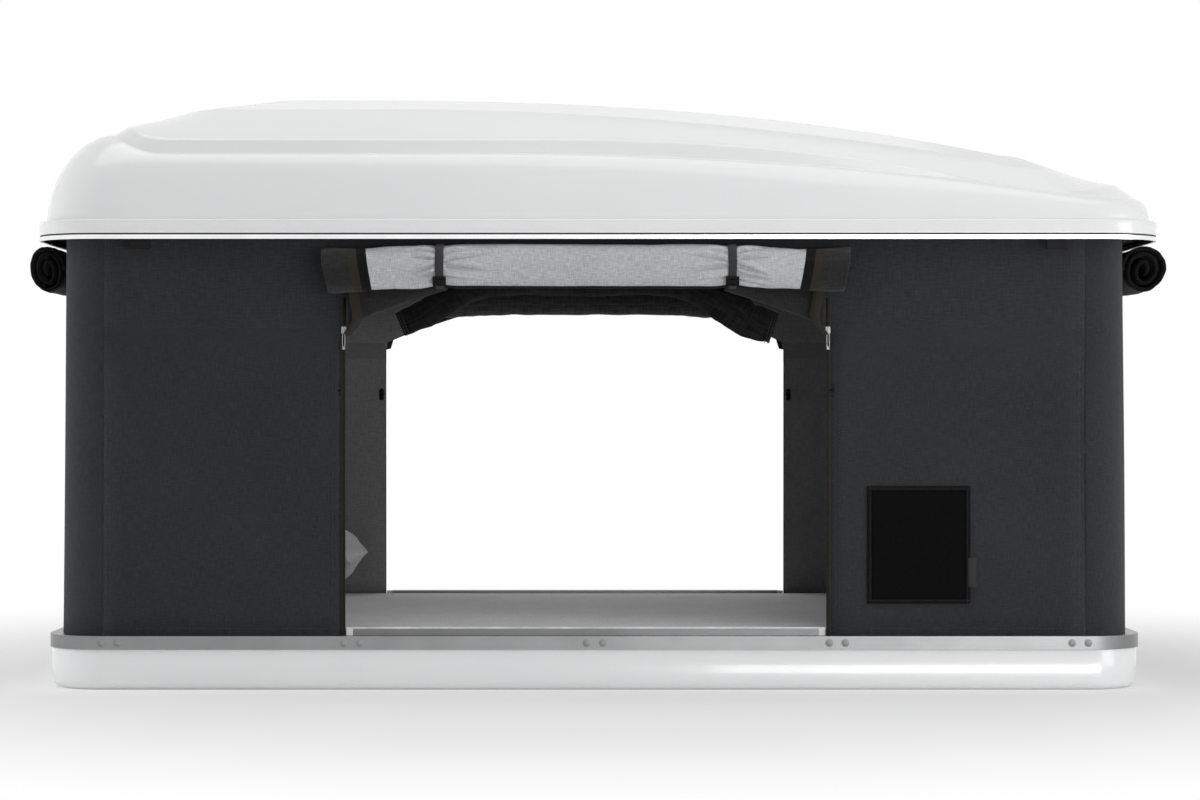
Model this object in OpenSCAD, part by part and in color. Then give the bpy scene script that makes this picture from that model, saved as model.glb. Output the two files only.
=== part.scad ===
// Hard shell roof top tent, standing open.
// +X points to the foot end with the low nose, -Y to the side seen in the photo, +Z up.
// The origin is under the middle of the roof shell, on the plane that the base rests on.
// Sizes are in millimetres.

/* [Roof shell] */
// Length of the roof shell over its skirt
lid_length = 2100; // [2060:5:2300]
// Width of the roof shell over its skirt
lid_width = 1300; // [1290:5:1500]
// Height of the roof's lower edge when open
lid_z = 835; // [790:1:880]
// Corner radius of the skirt, seen from above
lid_corner_r = 120; // [90:1:150]
// Wall of the moulded roof shell
lid_wall = 4; // [3:0.5:6]
// Height of the upright skirt over the edge trim
skirt_h = 25; // [22:1:32]
// Width of the ledge between skirt and moulded body
ledge_w = 13; // [9:1:18]
// Rise of the side shoulder over the roof's lower edge
shoulder_rise = 162; // [150:1:185]
// How far the side shoulder leans in from the skirt
shoulder_in = 60; // [40:1:90]
// Rise of the rounded head end over the roof's lower edge
head_rise = 205; // [195:1:225]
// How far the rounded head end leans in from the skirt
head_in = 135; // [110:1:170]
// Height of the steep band between shoulder and island
band_h = 28; // [18:1:36]
// Rise of the island's upper edge over the roof's lower edge
island_rise = 264; // [245:1:275]
// Rise of the crown over the roof's lower edge
crown_rise = 285; // [280:1:310]
// How far the crown falls from the head to the nose
crown_fall = 128; // [100:1:150]
// Height of the bright edge trim
trim_h = 8; // [6:0.5:12]
// Wall of the edge trim
trim_wall = 6; // [4:0.5:8]
// Height of the dark bead over the edge trim
bead_h = 3; // [2:0.5:5]
// Thickness of the roof lining
liner_t = 5; // [3:0.5:8]
// Height of the frame that carries the walls, over the roof's lower edge
frame_rise = 32; // [29:1:36]
// Metal thickness of that frame
frame_t = 3; // [2:0.5:4]

/* [Base shell] */
// How far the metal rim lies inside the roof's skirt at the ends
rim_inset_x = 24; // [16:1:30]
// How far the metal rim lies inside the roof's skirt at the sides
rim_inset_y = 27; // [20:1:32]
// How far the base's middle lies behind the roof's middle
base_set_back = 7; // [0:1:12]
// Corner radius of the metal rim
rim_r = 112; // [100:1:130]
// Top of the metal rim
rim_top = 100; // [92:1:110]
// Height of the rim's visible band
rim_h = 25; // [18:1:32]
// Metal thickness of the rim
rim_t = 3; // [2:0.5:4]
// Width of the rim's ledge outside the fabric wall
rim_ledge = 24; // [20:1:30]
// Wall of the moulded base shell
base_wall = 5; // [4:0.5:7]
// Radius of the base shell's bottom edge
base_fillet = 18; // [12:1:24]
// Radius of the rivet heads
rivet_r = 7; // [5:0.5:8]
// Distance of the last rivet pairs from the rim's round corners
rivet_end = 14; // [10:1:40]
// Spacing of the two rivets in a pair
rivet_pair = 30; // [24:1:40]
// Thickness of the floor panel
floor_t = 12; // [9:1:15]

/* [Roof bar rails] */
// Length of each mounting rail
rail_length = 1500; // [1200:10:1600]
// Width of each mounting rail
rail_w = 46; // [40:1:60]
// Height of each mounting rail
rail_h = 20; // [16:1:22]
// Metal thickness of the rails
rail_t = 4; // [3:0.5:5]
// Distance of the rails from the sides of the base shell
rail_inset = 220; // [180:5:300]
// Spacing of the bolt holes along a rail
bolt_spacing = 1000; // [800:10:1100]
// Radius of the bolt holes
bolt_hole_r = 4.25; // [3.3:0.05:5.3]

/* [Fabric walls] */
// Thickness of the wall fabric as modelled
wall_t = 2; // [1.5:0.5:3]
// Width of the door openings
door_w = 895; // [800:5:950]
// How far the doors' middle lies behind the base's middle
door_set_back = 16; // [0:1:25]
// Height where the door's upper corners start to slope in
door_slope_z = 672; // [640:1:690]
// Height of the door's upper edge, behind the rolled flap
door_top_z = 755; // [745:1:770]
// How far the upper corners slope in
door_slope_w = 170; // [120:5:200]
// Width of the end windows
window_w = 800; // [600:10:860]
// Lower edge of the end windows
window_z = 360; // [300:5:420]
// Upper edge of the end windows
window_top_z = 790; // [770:1:800]
// Thickness of the window netting as modelled
net_t = 1; // [0.8:0.1:1.5]
// Width of the square patch on the wall
patch_w = 192; // [150:1:220]
// Height of the square patch on the wall
patch_h = 219; // [180:1:240]
// Lower edge of the patch
patch_z = 159; // [140:1:200]
// Distance of the patch from the door opening
patch_gap = 76; // [50:1:120]

/* [Rolled flaps] */
// Length of the rolled door flaps
door_roll_l = 979; // [900:5:1000]
// Length of the thick grey part of the rolled door flaps
door_roll_grey_l = 814; // [760:5:840]
// Depth of the rolled door flaps
door_roll_d = 70; // [60:1:74]
// Height of the rolled door flaps
door_roll_h = 87; // [78:1:88]
// Height of the rolls' lower side
roll_z = 740; // [735:1:745]
// Length of the rolled window flaps
window_roll_l = 960; // [880:5:980]
// Height of the rolled window flaps
window_roll_h = 91; // [80:1:92]
// Share of the roll's thickness left under a strap
strap_pinch = 0.88; // [0.8:0.01:0.95]
// Spacing of the two straps on a roll
strap_spacing = 540; // [460:5:600]
// Width of the strap webbing
strap_w = 17.5; // [15:0.5:25]
// Thickness of the strap webbing
strap_t = 1.6; // [1.2:0.1:2.5]
// Diameter of the rolled door nets
net_roll_d = 56; // [44:1:60]

/* [Lift] */
// Width of a scissor arm
arm_w = 28; // [24:1:30]
// Thickness of a scissor arm
arm_t = 8; // [6:1:9]
// Distance of the fixed pivots from the rim's inner face at the side
pivot_gap = 50; // [44:1:65]
// Slope of the arms when closed, in degrees
closed_slope = 4.5; // [4:0.1:5.5]
// Distance of the scissors from the rim's inner face at the end
scissor_gap = 20; // [18:1:28]
// Radius of the pivot pins
pin_r = 6; // [5:0.5:7]
// Running clearance of the pins
pin_clear = 0.05; // [0.02:0.01:0.1]
// Metal thickness of the tracks
track_t = 3; // [2:0.5:4]
// Radius of the gas spring tubes
gas_tube_r = 11; // [9.5:0.5:12]
// Radius of the gas spring rods
gas_rod_r = 5; // [4:0.5:6]
// Gap between a gas spring tube and its slider when open
gas_end_gap = 16; // [8:1:24]
// Free length in a gas spring tube behind its piston when open
gas_back = 120; // [60:1:130]

/* [Closing catches] */
// Width of a catch
catch_w = 36; // [28:1:44]
// Distance of the catches from the roof's ends
catch_end = 202; // [170:1:270]
// How far a catch hangs below the roof's edge
catch_drop = 17; // [16:0.5:19]
// Thickness of a catch
catch_t = 6; // [5:0.5:7]
// Radius of the catch pins
catch_pin_r = 2.5; // [2:0.1:3]

/* [Bed] */
// Height of the mattress at its middle
bed_top = 116; // [105:1:118]
// How much the mattress is lower at its edges
bed_crown = 6; // [3:1:10]
// Width of the pillow across the tent's length
pillow_w = 385; // [320:5:400]
// Length of the pillow across the tent
pillow_l = 560; // [480:5:580]
// Thickness of the pillow
pillow_t = 178; // [140:2:182]
// Height of the door sills over the rim
sill_h = 15; // [10:0.5:15.5]

/* [Hidden] */
$fn = 48;

// Gap between a soft piece and what it lies on, and between sliding faces
soft_gap = 0.3;
slide_gap = 0.3;
eps = 0.1;

// Outlines seen from above, as half lengths and half widths
lid_hl = lid_length / 2;
lid_hw = lid_width / 2;
rim_hl = lid_hl - rim_inset_x;
rim_hw = lid_hw - rim_inset_y;
base_width = 2 * rim_hw;
wall_hl = rim_hl - rim_ledge;
wall_hw = rim_hw - rim_ledge;
wall_r = rim_r - rim_ledge;
rim_flange = 19;
rim_in_hl = wall_hl - rim_flange;
rim_in_hw = wall_hw - rim_flange;
rim_in_r = wall_r - rim_flange;
shell_hl = rim_hl - rim_t;
shell_hw = rim_hw - rim_t;
shell_r = rim_r - rim_t;
rail_spacing = 2 * (shell_hw - rail_inset);
rivet_pitch = (rim_hl - rim_r - rivet_end) / 2;
rivet_end_pitch = rim_hw - rim_r - 4 * rivet_end;

// Heights of the base
shell_top = rim_top - rim_t;
floor_seat_z = rail_h + base_wall;
floor_top = floor_seat_z + floor_t;
sill_top = rim_top + sill_h;

// Heights of the roof
skirt_z = lid_z + trim_h + bead_h;
skirt_round = 3;
ledge_z = skirt_z + skirt_h + skirt_round;
frame_z = lid_z + frame_rise;
closed_gap = 1;
travel = frame_z - sill_top - closed_gap;

// Scissor lift: the arms turn from open_slope to closed_slope while the roof comes down by travel
pivot_h = 20;
base_pivot_z = base_wall + track_t + pivot_h;
scissor_x = rim_in_hl - scissor_gap;
pivot_y = rim_in_hw - pivot_gap;
arm_length = 2 * pivot_y;
open_slope = asin(sin(closed_slope) + travel / arm_length);
lid_pivot_z = base_pivot_z + arm_length * sin(open_slope);
slide_y = arm_length * cos(open_slope) - pivot_y;
lane_gap = 1;
lane_a = lane_gap;
lane_b = -lane_gap - arm_t;
pin_head_t = 2;
track_out = lane_a + arm_t + 5;
gas_lane = lane_b - pin_head_t - 3 - gas_tube_r;
track_in = gas_lane - gas_tube_r - 4;
track_end_gap = 10;
track_half_l = rim_in_hw - track_end_gap;
track_lip = 18;
track_fit = 1;
lid_web_z = lid_pivot_z + pivot_h;
gas_start_y = 30 - pivot_y;
gland_l = 20;
slider_half_l = 18;
gas_tube_l = slide_y - slider_half_l - gas_end_gap - gas_start_y;
gas_rod_l = gas_tube_l - gas_back;

// Doors, rolls and the pieces on them, from the base's middle
door_x0 = -door_set_back - door_w / 2;
door_x1 = -door_set_back + door_w / 2;
roll_ry = door_roll_d / 2 - soft_gap / 2;
roll_rz = door_roll_h / 2;
roll_cy = wall_hw + soft_gap + roll_ry;
roll_cz = roll_z + roll_rz;
window_roll_rz = window_roll_h / 2;

// Closing catches
catch_x = lid_hl - catch_end;
catch_pin_z = lid_z + 7;
catch_barrel_r = 4;
catch_pin_y = rim_hw + 8;
catch_toe_reach = catch_pin_y - rim_hw - 0.8;
catch_toe_t = 5.5;
ear_t = 4;

// Shapes that repeat

module on_base() {
  translate([-base_set_back, 0, 0]) children();
}

// The foot end is the head end turned half round
module at_foot() {
  rotate([0, 0, 180]) children();
}

module round_rect(hl, hw, r) {
  square([2 * (hl - r), 2 * hw], center = true);
  square([2 * hl, 2 * (hw - r)], center = true);
  for (sx = [-1, 1], sy = [-1, 1]) translate([sx * (hl - r), sy * (hw - r)]) circle(r);
}

module ring_2d(hl, hw, r, wall) {
  difference() {
    round_rect(hl, hw, r);
    round_rect(hl - wall, hw - wall, r - wall);
  }
}

module slab(z0, z1) {
  translate([0, 0, z0]) linear_extrude(z1 - z0) children();
}

// Stands a flat shape up across the tent, from x0 towards +X
module across(x0, depth) {
  translate([x0, 0, 0]) rotate([90, 0, 90]) linear_extrude(depth) children();
}

// Stands a flat shape up along the tent, from y0 towards +Y
module along(y0, depth) {
  translate([0, y0 + depth, 0]) rotate([90, 0, 0]) linear_extrude(depth) children();
}

function mix(a, b, t) = a + (b - a) * t;

// Closed skin through rings that all have the same number of points, with flat fans at both ends
module loft(rings) {
  n = len(rings[0]);
  last = len(rings) - 1;
  points = [for (ring = rings) each ring];
  sides = [for (k = [0 : last - 1], j = [0 : n - 1])
    let (a = k * n + j, b = k * n + (j + 1) % n)
      each [[a, a + n, b + n], [a, b + n, b]]];
  first_cap = [for (j = [1 : n - 2]) [0, j, j + 1]];
  last_cap = [for (j = [1 : n - 2]) [last * n, last * n + j + 1, last * n + j]];
  polyhedron(points, concat(sides, first_cap, last_cap));
}

// Level rounded rectangle as a ring of points
ring_steps = 8;
function flat_outline(hl, hw, r, z) = [for (q = [0 : 3], i = [0 : ring_steps])
  let (a = 90 * (q + i / ring_steps) - 90, sx = q < 2 ? 1 : -1, sy = q == 1 || q == 2 ? 1 : -1)
    [sx * (hl - r) + r * cos(a), sy * (hw - r) + r * sin(a), z]];

// Oval with its centre at (y, z), in the plane x
oval_sides = 18;
function oval_x(x, y, z, ry, rz) =
  [for (j = [0 : oval_sides - 1]) let (a = 360 * j / oval_sides) [x, y - ry * cos(a), z - rz * sin(a)]];

// Roof shell: rounded outlines stacked from the skirt to the crown.
// An outline is [x_head, x_foot, half_width, r_head, r_foot, z_head, z_foot].
side_steps = 14;
corner_steps = 4;
swell_n = 1.85;
swell_steps = [22, 45, 68];
function swell_in(a) = 1 - pow(cos(a), 2 / swell_n);
function swell_up(a) = pow(sin(a), 2 / swell_n);
function fall(x, from, to, drop, power) = drop * pow(max(0, (x - from) / (to - from)), power);

// Heights of the long edges at a place along the roof, each with how far it falls before its nose end
shoulder_fall = 94;
shoulder_fall_end = 29;
band_fall = 86;
band_fall_end = 293;
island_fall_end = 120;
crown_fall_end = 173;
function shoulder_at(x) =
  lid_z + shoulder_rise - fall(x, -0.24 * lid_hl, lid_hl - shoulder_fall_end, shoulder_fall, 2.13);
function band_at(x) = max(shoulder_at(x) + 2,
  lid_z + shoulder_rise + band_h - fall(x, -0.1 * lid_hl, lid_hl - band_fall_end, band_fall, 2.25));
function island_at(x) =
  lid_z + island_rise - fall(x, -0.38 * lid_hl, lid_hl - island_fall_end, crown_fall + 3, 1.95);
function crown_at(x) =
  lid_z + crown_rise - fall(x, -0.476 * lid_hl, lid_hl - crown_fall_end, crown_fall, 2.45);

// The head and nose ends of the edges: how far in from the skirt
band_head_in = head_in + 25;
island_head_in = head_in + 105;
crown_run = 160;
crown_head_in = island_head_in + crown_run;
shoulder_nose_in = 26;
band_nose_in = 66;
island_nose_in = 118;
crown_nose_in = 180;
island_in = shoulder_in + 190;
crown_in = island_in + 22;
nose_z = lid_z + 80;

function corner(r, zs, end, side, a) =
  let (rr = end > 0 ? r[4] : r[3],
       xe = end > 0 ? r[1] - rr : r[0] + rr,
       ze = end > 0 ? r[6] : r[5])
    [xe + end * rr * sin(a), side * (r[2] - rr + rr * cos(a)), mix(zs(xe), ze, pow(sin(a), 2))];
function side_x(r, i) = mix(r[0] + r[3], r[1] - r[4], i / side_steps);
function outline(r, zs) = concat(
  [for (i = [0 : side_steps]) [side_x(r, i), -r[2], zs(side_x(r, i))]],
  [for (i = [1 : corner_steps]) corner(r, zs, 1, -1, 90 * i / corner_steps)],
  [for (i = [0 : corner_steps - 1]) corner(r, zs, 1, 1, 90 - 90 * i / corner_steps)],
  [for (i = [side_steps : -1 : 0]) [side_x(r, i), r[2], zs(side_x(r, i))]],
  [for (i = [1 : corner_steps]) corner(r, zs, -1, 1, 90 * i / corner_steps)],
  [for (i = [0 : corner_steps - 1]) corner(r, zs, -1, -1, 90 - 90 * i / corner_steps)]);

// An outline set in by the amounts given at its head, nose and sides, then made smaller by d and lowered
function lid_outline(head, nose, side, rh, rf, zh, zf, zs, d, lower) =
  outline([-lid_hl + head + d, lid_hl - nose - d, lid_hw - side - d,
      rh - d, rf - d, zh - lower, zf - lower],
    function (x) zs(x) - lower);
function lid_level(z, inset, d, lower) =
  lid_outline(inset, inset, inset, lid_corner_r - inset / 2, lid_corner_r - inset / 2, z, z,
    function (x) z, d, lower);
function lid_swell(a, d) =
  let (i = swell_in(a), u = swell_up(a), r = lid_corner_r - ledge_w / 2)
    lid_outline(mix(ledge_w, head_in, i), mix(ledge_w, shoulder_nose_in, i), mix(ledge_w, shoulder_in, i),
      r, r, mix(ledge_z, lid_z + head_rise, u), mix(ledge_z, nose_z, u),
      function (x) mix(ledge_z, shoulder_at(x), u), d, d);
function lid_body(d) = concat(
  [lid_level(ledge_z, ledge_w, d, d)],
  [for (a = swell_steps) lid_swell(a, d)],
  [lid_outline(head_in, shoulder_nose_in, shoulder_in, 100, 115, lid_z + head_rise, nose_z,
     function (x) shoulder_at(x), d, d),
   lid_outline(band_head_in, band_nose_in, shoulder_in + 10, 90, 115, lid_z + head_rise + 15, nose_z + 31,
     function (x) band_at(x), d, d),
   lid_outline(island_head_in, island_nose_in, island_in, 80, 95, lid_z + island_rise - 7, nose_z + 55,
     function (x) island_at(x), d, d),
   lid_outline(crown_head_in, crown_nose_in, crown_in, 80, 90, lid_z + crown_rise - 2, nose_z + 75,
     function (x) crown_at(x) - 2, d, d)]);
function lid_skirt(d) = [
  lid_level(skirt_z, 0, d, 0),
  lid_level(skirt_z + skirt_h, 0, d, d),
  lid_level(skirt_z + skirt_h + 2 / 3 * skirt_round, skirt_round, d, d)];

// Two nested stacks of outlines, closed over the crown and along the lower edge
module hollow_roof(outer, inner) {
  n = len(outer[0]);
  m = len(outer);
  far_half = n * m;
  points = concat([for (ring = outer) each ring], [for (ring = inner) each ring]);
  chain = 2 * corner_steps + side_steps + 1;
  turn = 2 * side_steps + 2 + 3 * corner_steps;
  function near_i(i) = (i + turn) % n;
  function far_i(i) = (turn - 1 - i + n) % n;
  walls = [for (k = [0 : m - 2], j = [0 : n - 1])
    let (a = k * n + j, b = k * n + (j + 1) % n, c = a + far_half, e = b + far_half)
      each [[a, a + n, b + n], [a, b + n, b], [c, e + n, c + n], [c, e, e + n]]];
  top = (m - 1) * n;
  crown = [for (i = [0 : chain - 2])
    let (a = top + near_i(i), b = top + near_i(i + 1), c = top + far_i(i + 1), e = top + far_i(i))
      each [[a, e, c], [a, c, b],
        [a + far_half, c + far_half, e + far_half], [a + far_half, b + far_half, c + far_half]]];
  edge = [for (j = [0 : n - 1])
    let (a = j, b = (j + 1) % n, c = a + far_half, e = b + far_half)
      each [[a, b, e], [a, e, c]]];
  polyhedron(points, concat(walls, crown, edge));
}

// Base

// Moulded tray: a low lip runs round the underside, and the floor inside it is raised over the rails
fillet_steps = [0, 30, 60, 90];
lip_w = 112;
lip_slope = 8;
least_r = 12;
function base_level(z, inset) =
  flat_outline(shell_hl - inset, shell_hw - inset, max(shell_r - inset, least_r), z);
module lower_shell() {
  f_in = base_fillet - base_wall;
  lip_in = base_fillet + lip_w;
  color("whitesmoke") on_base() loft(concat(
    [base_level(rail_h, lip_in + lip_slope), base_level(0, lip_in)],
    [for (a = fillet_steps) base_level(base_fillet * (1 - cos(a)), base_fillet * (1 - sin(a)))],
    [base_level(shell_top, 0), base_level(shell_top, base_wall)],
    [for (i = [len(fillet_steps) - 1 : -1 : 0]) let (a = fillet_steps[i])
      base_level(base_wall + f_in * (1 - cos(a)), base_wall + f_in * (1 - sin(a)))],
    [base_level(base_wall, lip_in - base_wall), base_level(floor_seat_z, lip_in + lip_slope - base_wall)]));
}

floor_hl = scissor_x + track_in - track_t - 8;
floor_hw = track_half_l + 1;
floor_r = 20;
module floor_panel() {
  color("burlywood") on_base() slab(floor_seat_z, floor_top) round_rect(floor_hl, floor_hw, floor_r);
}

module base_rim() {
  color("silver") on_base() union() {
    slab(rim_top - rim_h, rim_top) ring_2d(rim_hl, rim_hw, rim_r, rim_t);
    slab(rim_top - rim_t, rim_top) difference() {
      round_rect(rim_hl, rim_hw, rim_r);
      round_rect(rim_in_hl, rim_in_hw, rim_in_r);
    }
    slab(rim_top - 2 * rim_h, rim_top) difference() {
      round_rect(rim_in_hl + rim_t, rim_in_hw + rim_t, rim_in_r + rim_t);
      round_rect(rim_in_hl, rim_in_hw, rim_in_r);
    }
  }
}

module rivet() {
  rotate_extrude() intersection() {
    translate([0, -2 * rivet_r]) circle(2.35 * rivet_r);
    square([rivet_r, rivet_r]);
  }
}

module rivet_twins() {
  for (s = [-1, 1]) translate([s * rivet_pair / 2, 0, rim_top - rim_h / 2]) rotate([90, 0, 0]) rivet();
}

module rim_rivets() {
  color("gainsboro") on_base() {
    for (turn = [0, 180]) rotate([0, 0, turn]) {
      for (i = [-2 : 2]) translate([i * rivet_pitch, -rim_hw, 0]) rivet_twins();
      for (i = [-1, 1]) rotate([0, 0, 90]) translate([i * rivet_end_pitch, -rim_hl, 0]) rivet_twins();
    }
  }
}

module rail(side) {
  color("silver") on_base() translate([0, side * rail_spacing / 2, 0]) difference() {
    translate([-rail_length / 2, -rail_w / 2, 0]) cube([rail_length, rail_w, rail_h]);
    translate([-rail_length / 2 - 1, rail_t - rail_w / 2, rail_t])
      cube([rail_length + 2, rail_w - 2 * rail_t, rail_h]);
    for (s = [-1, 1]) translate([s * bolt_spacing / 2, 0, -1]) cylinder(h = rail_t + 2, r = bolt_hole_r);
  }
}

module rail_near() {
  rail(-1);
}

module rail_far() {
  rail(1);
}

nut_w = 24;
nut_t = 6;
module rail_nuts() {
  color("silver") on_base() {
    for (sx = [-1, 1], sy = [-1, 1]) translate([sx * bolt_spacing / 2, sy * rail_spacing / 2, rail_t])
      difference() {
        translate([-nut_w / 2, -nut_w / 2, 0]) cube([nut_w, nut_w, nut_t]);
        translate([0, 0, -1]) cylinder(h = nut_t + 2, r = bolt_hole_r);
      }
  }
}

// Door sill: a hollow bar with a lengthwise groove in its outer face, on the rim's ledge
sill_w = 16;
sill_cap_l = 12;
sill_end_gap = 2;
sill_wall = 2;
module sill(side) {
  x0 = door_x0 + sill_end_gap + sill_cap_l;
  x1 = door_x1 - sill_end_gap - sill_cap_l;
  color("silver") on_base() mirror([0, side > 0 ? 1 : 0, 0]) across(x0, x1 - x0) difference() {
    translate([-wall_hw, rim_top]) square([sill_w, sill_h]);
    translate([sill_wall - wall_hw, rim_top + sill_wall])
      square([sill_w - 2 * sill_wall, sill_h - 2 * sill_wall]);
    translate([-wall_hw - eps, rim_top + 0.35 * sill_h]) square([0.4 * sill_wall + eps, 0.3 * sill_h]);
  }
}

module sill_near() {
  sill(-1);
}

module sill_far() {
  sill(1);
}

module sill_end_caps() {
  color("lightgray") on_base() {
    for (side = [-1, 1], x = [door_x0 + sill_end_gap, door_x1 - sill_end_gap - sill_cap_l])
      translate([x, side > 0 ? wall_hw - sill_w : -wall_hw, rim_top]) cube([sill_cap_l, sill_w, sill_h]);
  }
}

// Bed

bed_hl = floor_hl - 2;
bed_hw = floor_hw + 1;
bed_r = 60;
bed_edge_w = 120;
bed_flat_in = 300;
module mattress() {
  z0 = floor_top + soft_gap;
  z1 = bed_top - bed_crown;
  function level(z, inset) = flat_outline(bed_hl - inset, bed_hw - inset, bed_r, z);
  color("darkgray") on_base() loft([level(z0, 9), level(z0 + 8, 1), level(mix(z0, z1, 0.5), 5),
    level(z1 - 8, 1), level(z1, 9), level(bed_top - 0.3 * bed_crown, bed_edge_w),
    level(bed_top, bed_flat_in)]);
}

// Plump pillow: two crowned faces that meet at a pointed seam, with sides drawn in between the corners
pillow_steps = 12;
pillow_draw = 0.06;
pillow_gap = 41.5;
pillow_x = pillow_gap + pillow_w / 2 - bed_hl;
pillow_y = 220;
module pillow() {
  n = pillow_steps;
  function s(i) = -cos(180 * i / n);
  function at(i, j, face) = let (u = s(i), v = s(j))
    [pillow_w / 2 * u * (1 - pillow_draw * (1 - v * v)), pillow_l / 2 * v * (1 - pillow_draw * (1 - u * u)),
     face * pillow_t / 2 * pow((1 - u * u) * (1 - v * v), 0.55)];
  function inner(i, j) = i > 0 && i < n && j > 0 && j < n;
  w = n + 1;
  lower_start = w * w;
  function low(i, j) = inner(i, j) ? lower_start + (i - 1) * (n - 1) + j - 1 : i * w + j;
  points = concat([for (i = [0 : n], j = [0 : n]) at(i, j, 1)],
    [for (i = [1 : n - 1], j = [1 : n - 1]) at(i, j, -1)]);
  // Each cell is cut towards the nearest corner, so that the two faces share only the seam
  function cell(a, b, c, e, turned) = turned ? [[a, b, e], [b, c, e]] : [[a, b, c], [a, c, e]];
  function turned(i, j) = (i < n / 2) != (j < n / 2);
  upper_faces = [for (i = [0 : n - 1], j = [0 : n - 1]) let (a = i * w + j)
    each cell(a, a + 1, a + w + 1, a + w, turned(i, j))];
  lower_faces = [for (i = [0 : n - 1], j = [0 : n - 1])
    each cell(low(i, j), low(i + 1, j), low(i + 1, j + 1), low(i, j + 1), turned(i, j))];
  color("gray") on_base() translate([pillow_x, pillow_y, bed_top + soft_gap + pillow_t / 2])
    polyhedron(points, concat(upper_faces, lower_faces));
}

// Fabric walls

module wall_tube() {
  slab(rim_top + soft_gap, frame_z - soft_gap) ring_2d(wall_hl, wall_hw, wall_r, wall_t);
}

module door_hole() {
  translate([door_x0, 0]) polygon([[0, 0], [door_w, 0], [door_w, door_slope_z],
    [door_w - door_slope_w, door_top_z], [door_slope_w, door_top_z], [0, door_slope_z]]);
}

module long_wall(side) {
  color("dimgray") on_base() difference() {
    intersection() {
      wall_tube();
      translate([-wall_hl + wall_r, side > 0 ? 0 : -rim_hw, 0])
        cube([2 * (wall_hl - wall_r), rim_hw, lid_z * 2]);
    }
    along(-rim_hw, base_width) door_hole();
  }
}

module near_wall() {
  long_wall(-1);
}

module far_wall() {
  long_wall(1);
}

module end_wall() {
  color("dimgray") difference() {
    intersection() {
      wall_tube();
      translate([-rim_hl, -rim_hw, 0]) cube([rim_hl - wall_hl + wall_r, base_width, lid_z * 2]);
    }
    translate([-rim_hl, -window_w / 2, window_z]) cube([rim_hl, window_w, window_top_z - window_z]);
  }
}

module head_wall() {
  on_base() end_wall();
}

module foot_wall() {
  on_base() at_foot() end_wall();
}

module window_nets() {
  color("black") on_base() {
    for (turn = [0, 180]) rotate([0, 0, turn])
      translate([-wall_hl + (wall_t - net_t) / 2, -window_w / 2, window_z])
        cube([net_t, window_w, window_top_z - window_z]);
  }
}

// Rolled flaps

roll_shoulder = 18;
pinch_half = strap_w / 2 + 1;
pinch_run = 28;
tab_scale = 0.84;
// Places along half a roll and the share of the full thickness there, from the middle outwards
function roll_profile(half_l, full_half_l) = [[0, 1], [strap_spacing / 2 - pinch_run - pinch_half, 1],
  [strap_spacing / 2 - pinch_half, strap_pinch], [strap_spacing / 2 + pinch_half, strap_pinch],
  [strap_spacing / 2 + pinch_run + pinch_half, 1], [full_half_l, 0.97],
  [full_half_l + roll_shoulder, tab_scale], [half_l, tab_scale]];
function both_ways(list) = concat([for (i = [len(list) - 1 : -1 : 1]) [-list[i][0], list[i][1]]], list);

module door_roll() {
  color("lightgray") loft([for (p = both_ways(roll_profile(door_roll_l / 2, door_roll_grey_l / 2)))
    oval_x(p[0] - door_set_back, -roll_cy, roll_cz, roll_ry * p[1], roll_rz * p[1])]);
}

module door_roll_near() {
  on_base() door_roll();
}

module door_roll_far() {
  on_base() mirror([0, 1, 0]) door_roll();
}

// The window rolls reach as far past the roof at the head as at the foot
roll_reach = 33;
function window_roll_rx(end) = (lid_hl + roll_reach - wall_hl - soft_gap + end * base_set_back) / 2;
function window_roll_cx(end) = wall_hl + soft_gap + window_roll_rx(end);
module window_roll(end) {
  color("dimgray") rotate([0, 0, end < 0 ? -90 : 90])
    loft([for (p = both_ways(roll_profile(window_roll_l / 2, window_roll_l / 2 - roll_shoulder - 2)))
      oval_x(p[0], -window_roll_cx(end), roll_z + window_roll_rz, window_roll_rx(end) * p[1],
        window_roll_rz * p[1])]);
}

module window_roll_head() {
  on_base() window_roll(-1);
}

module window_roll_foot() {
  on_base() window_roll(1);
}

// Rolled nets hang inside the doors from two ties, with drooping ends
net_y = wall_hw - wall_t - soft_gap - net_roll_d / 2;
net_droop = 66;
net_end_x = 352;
net_tie_x = 240;
net_top_z = door_top_z - net_roll_d / 2 + 32;
net_path = [[-net_end_x, net_top_z - net_droop - 20], [-net_tie_x - 40, net_top_z - 0.5 * net_droop],
  [-net_tie_x + 30, net_top_z - 4], [-net_tie_x + 110, net_top_z], [net_tie_x - 110, net_top_z],
  [net_tie_x - 30, net_top_z - 6], [net_tie_x + 30, net_top_z - 0.5 * net_droop],
  [net_end_x - 10, net_top_z - net_droop - 24]];
module net_roll() {
  color("black") loft([for (p = net_path)
    oval_x(p[0] - door_set_back, -net_y, p[1], net_roll_d / 2, net_roll_d / 2)]);
}

module net_roll_near() {
  on_base() net_roll();
}

module net_roll_far() {
  on_base() mirror([0, 1, 0]) net_roll();
}

strap_sides = 24;
function oval_2d(ry, rz) =
  [for (j = [0 : strap_sides - 1]) let (a = 360 * j / strap_sides) [ry * cos(a), rz * sin(a)]];

// Webbing loop round the pinched place of a roll that runs along X
module strap(ry, rz) {
  fit = soft_gap / cos(180 / strap_sides) + 0.6;
  a = ry * strap_pinch + fit;
  b = rz * strap_pinch + fit;
  across(-strap_w / 2, strap_w) difference() {
    polygon(oval_2d(a + strap_t, b + strap_t));
    polygon(oval_2d(a, b));
  }
}

module at_straps() {
  for (s = [-1, 1]) translate([s * strap_spacing / 2, 0, 0]) children();
}

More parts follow.
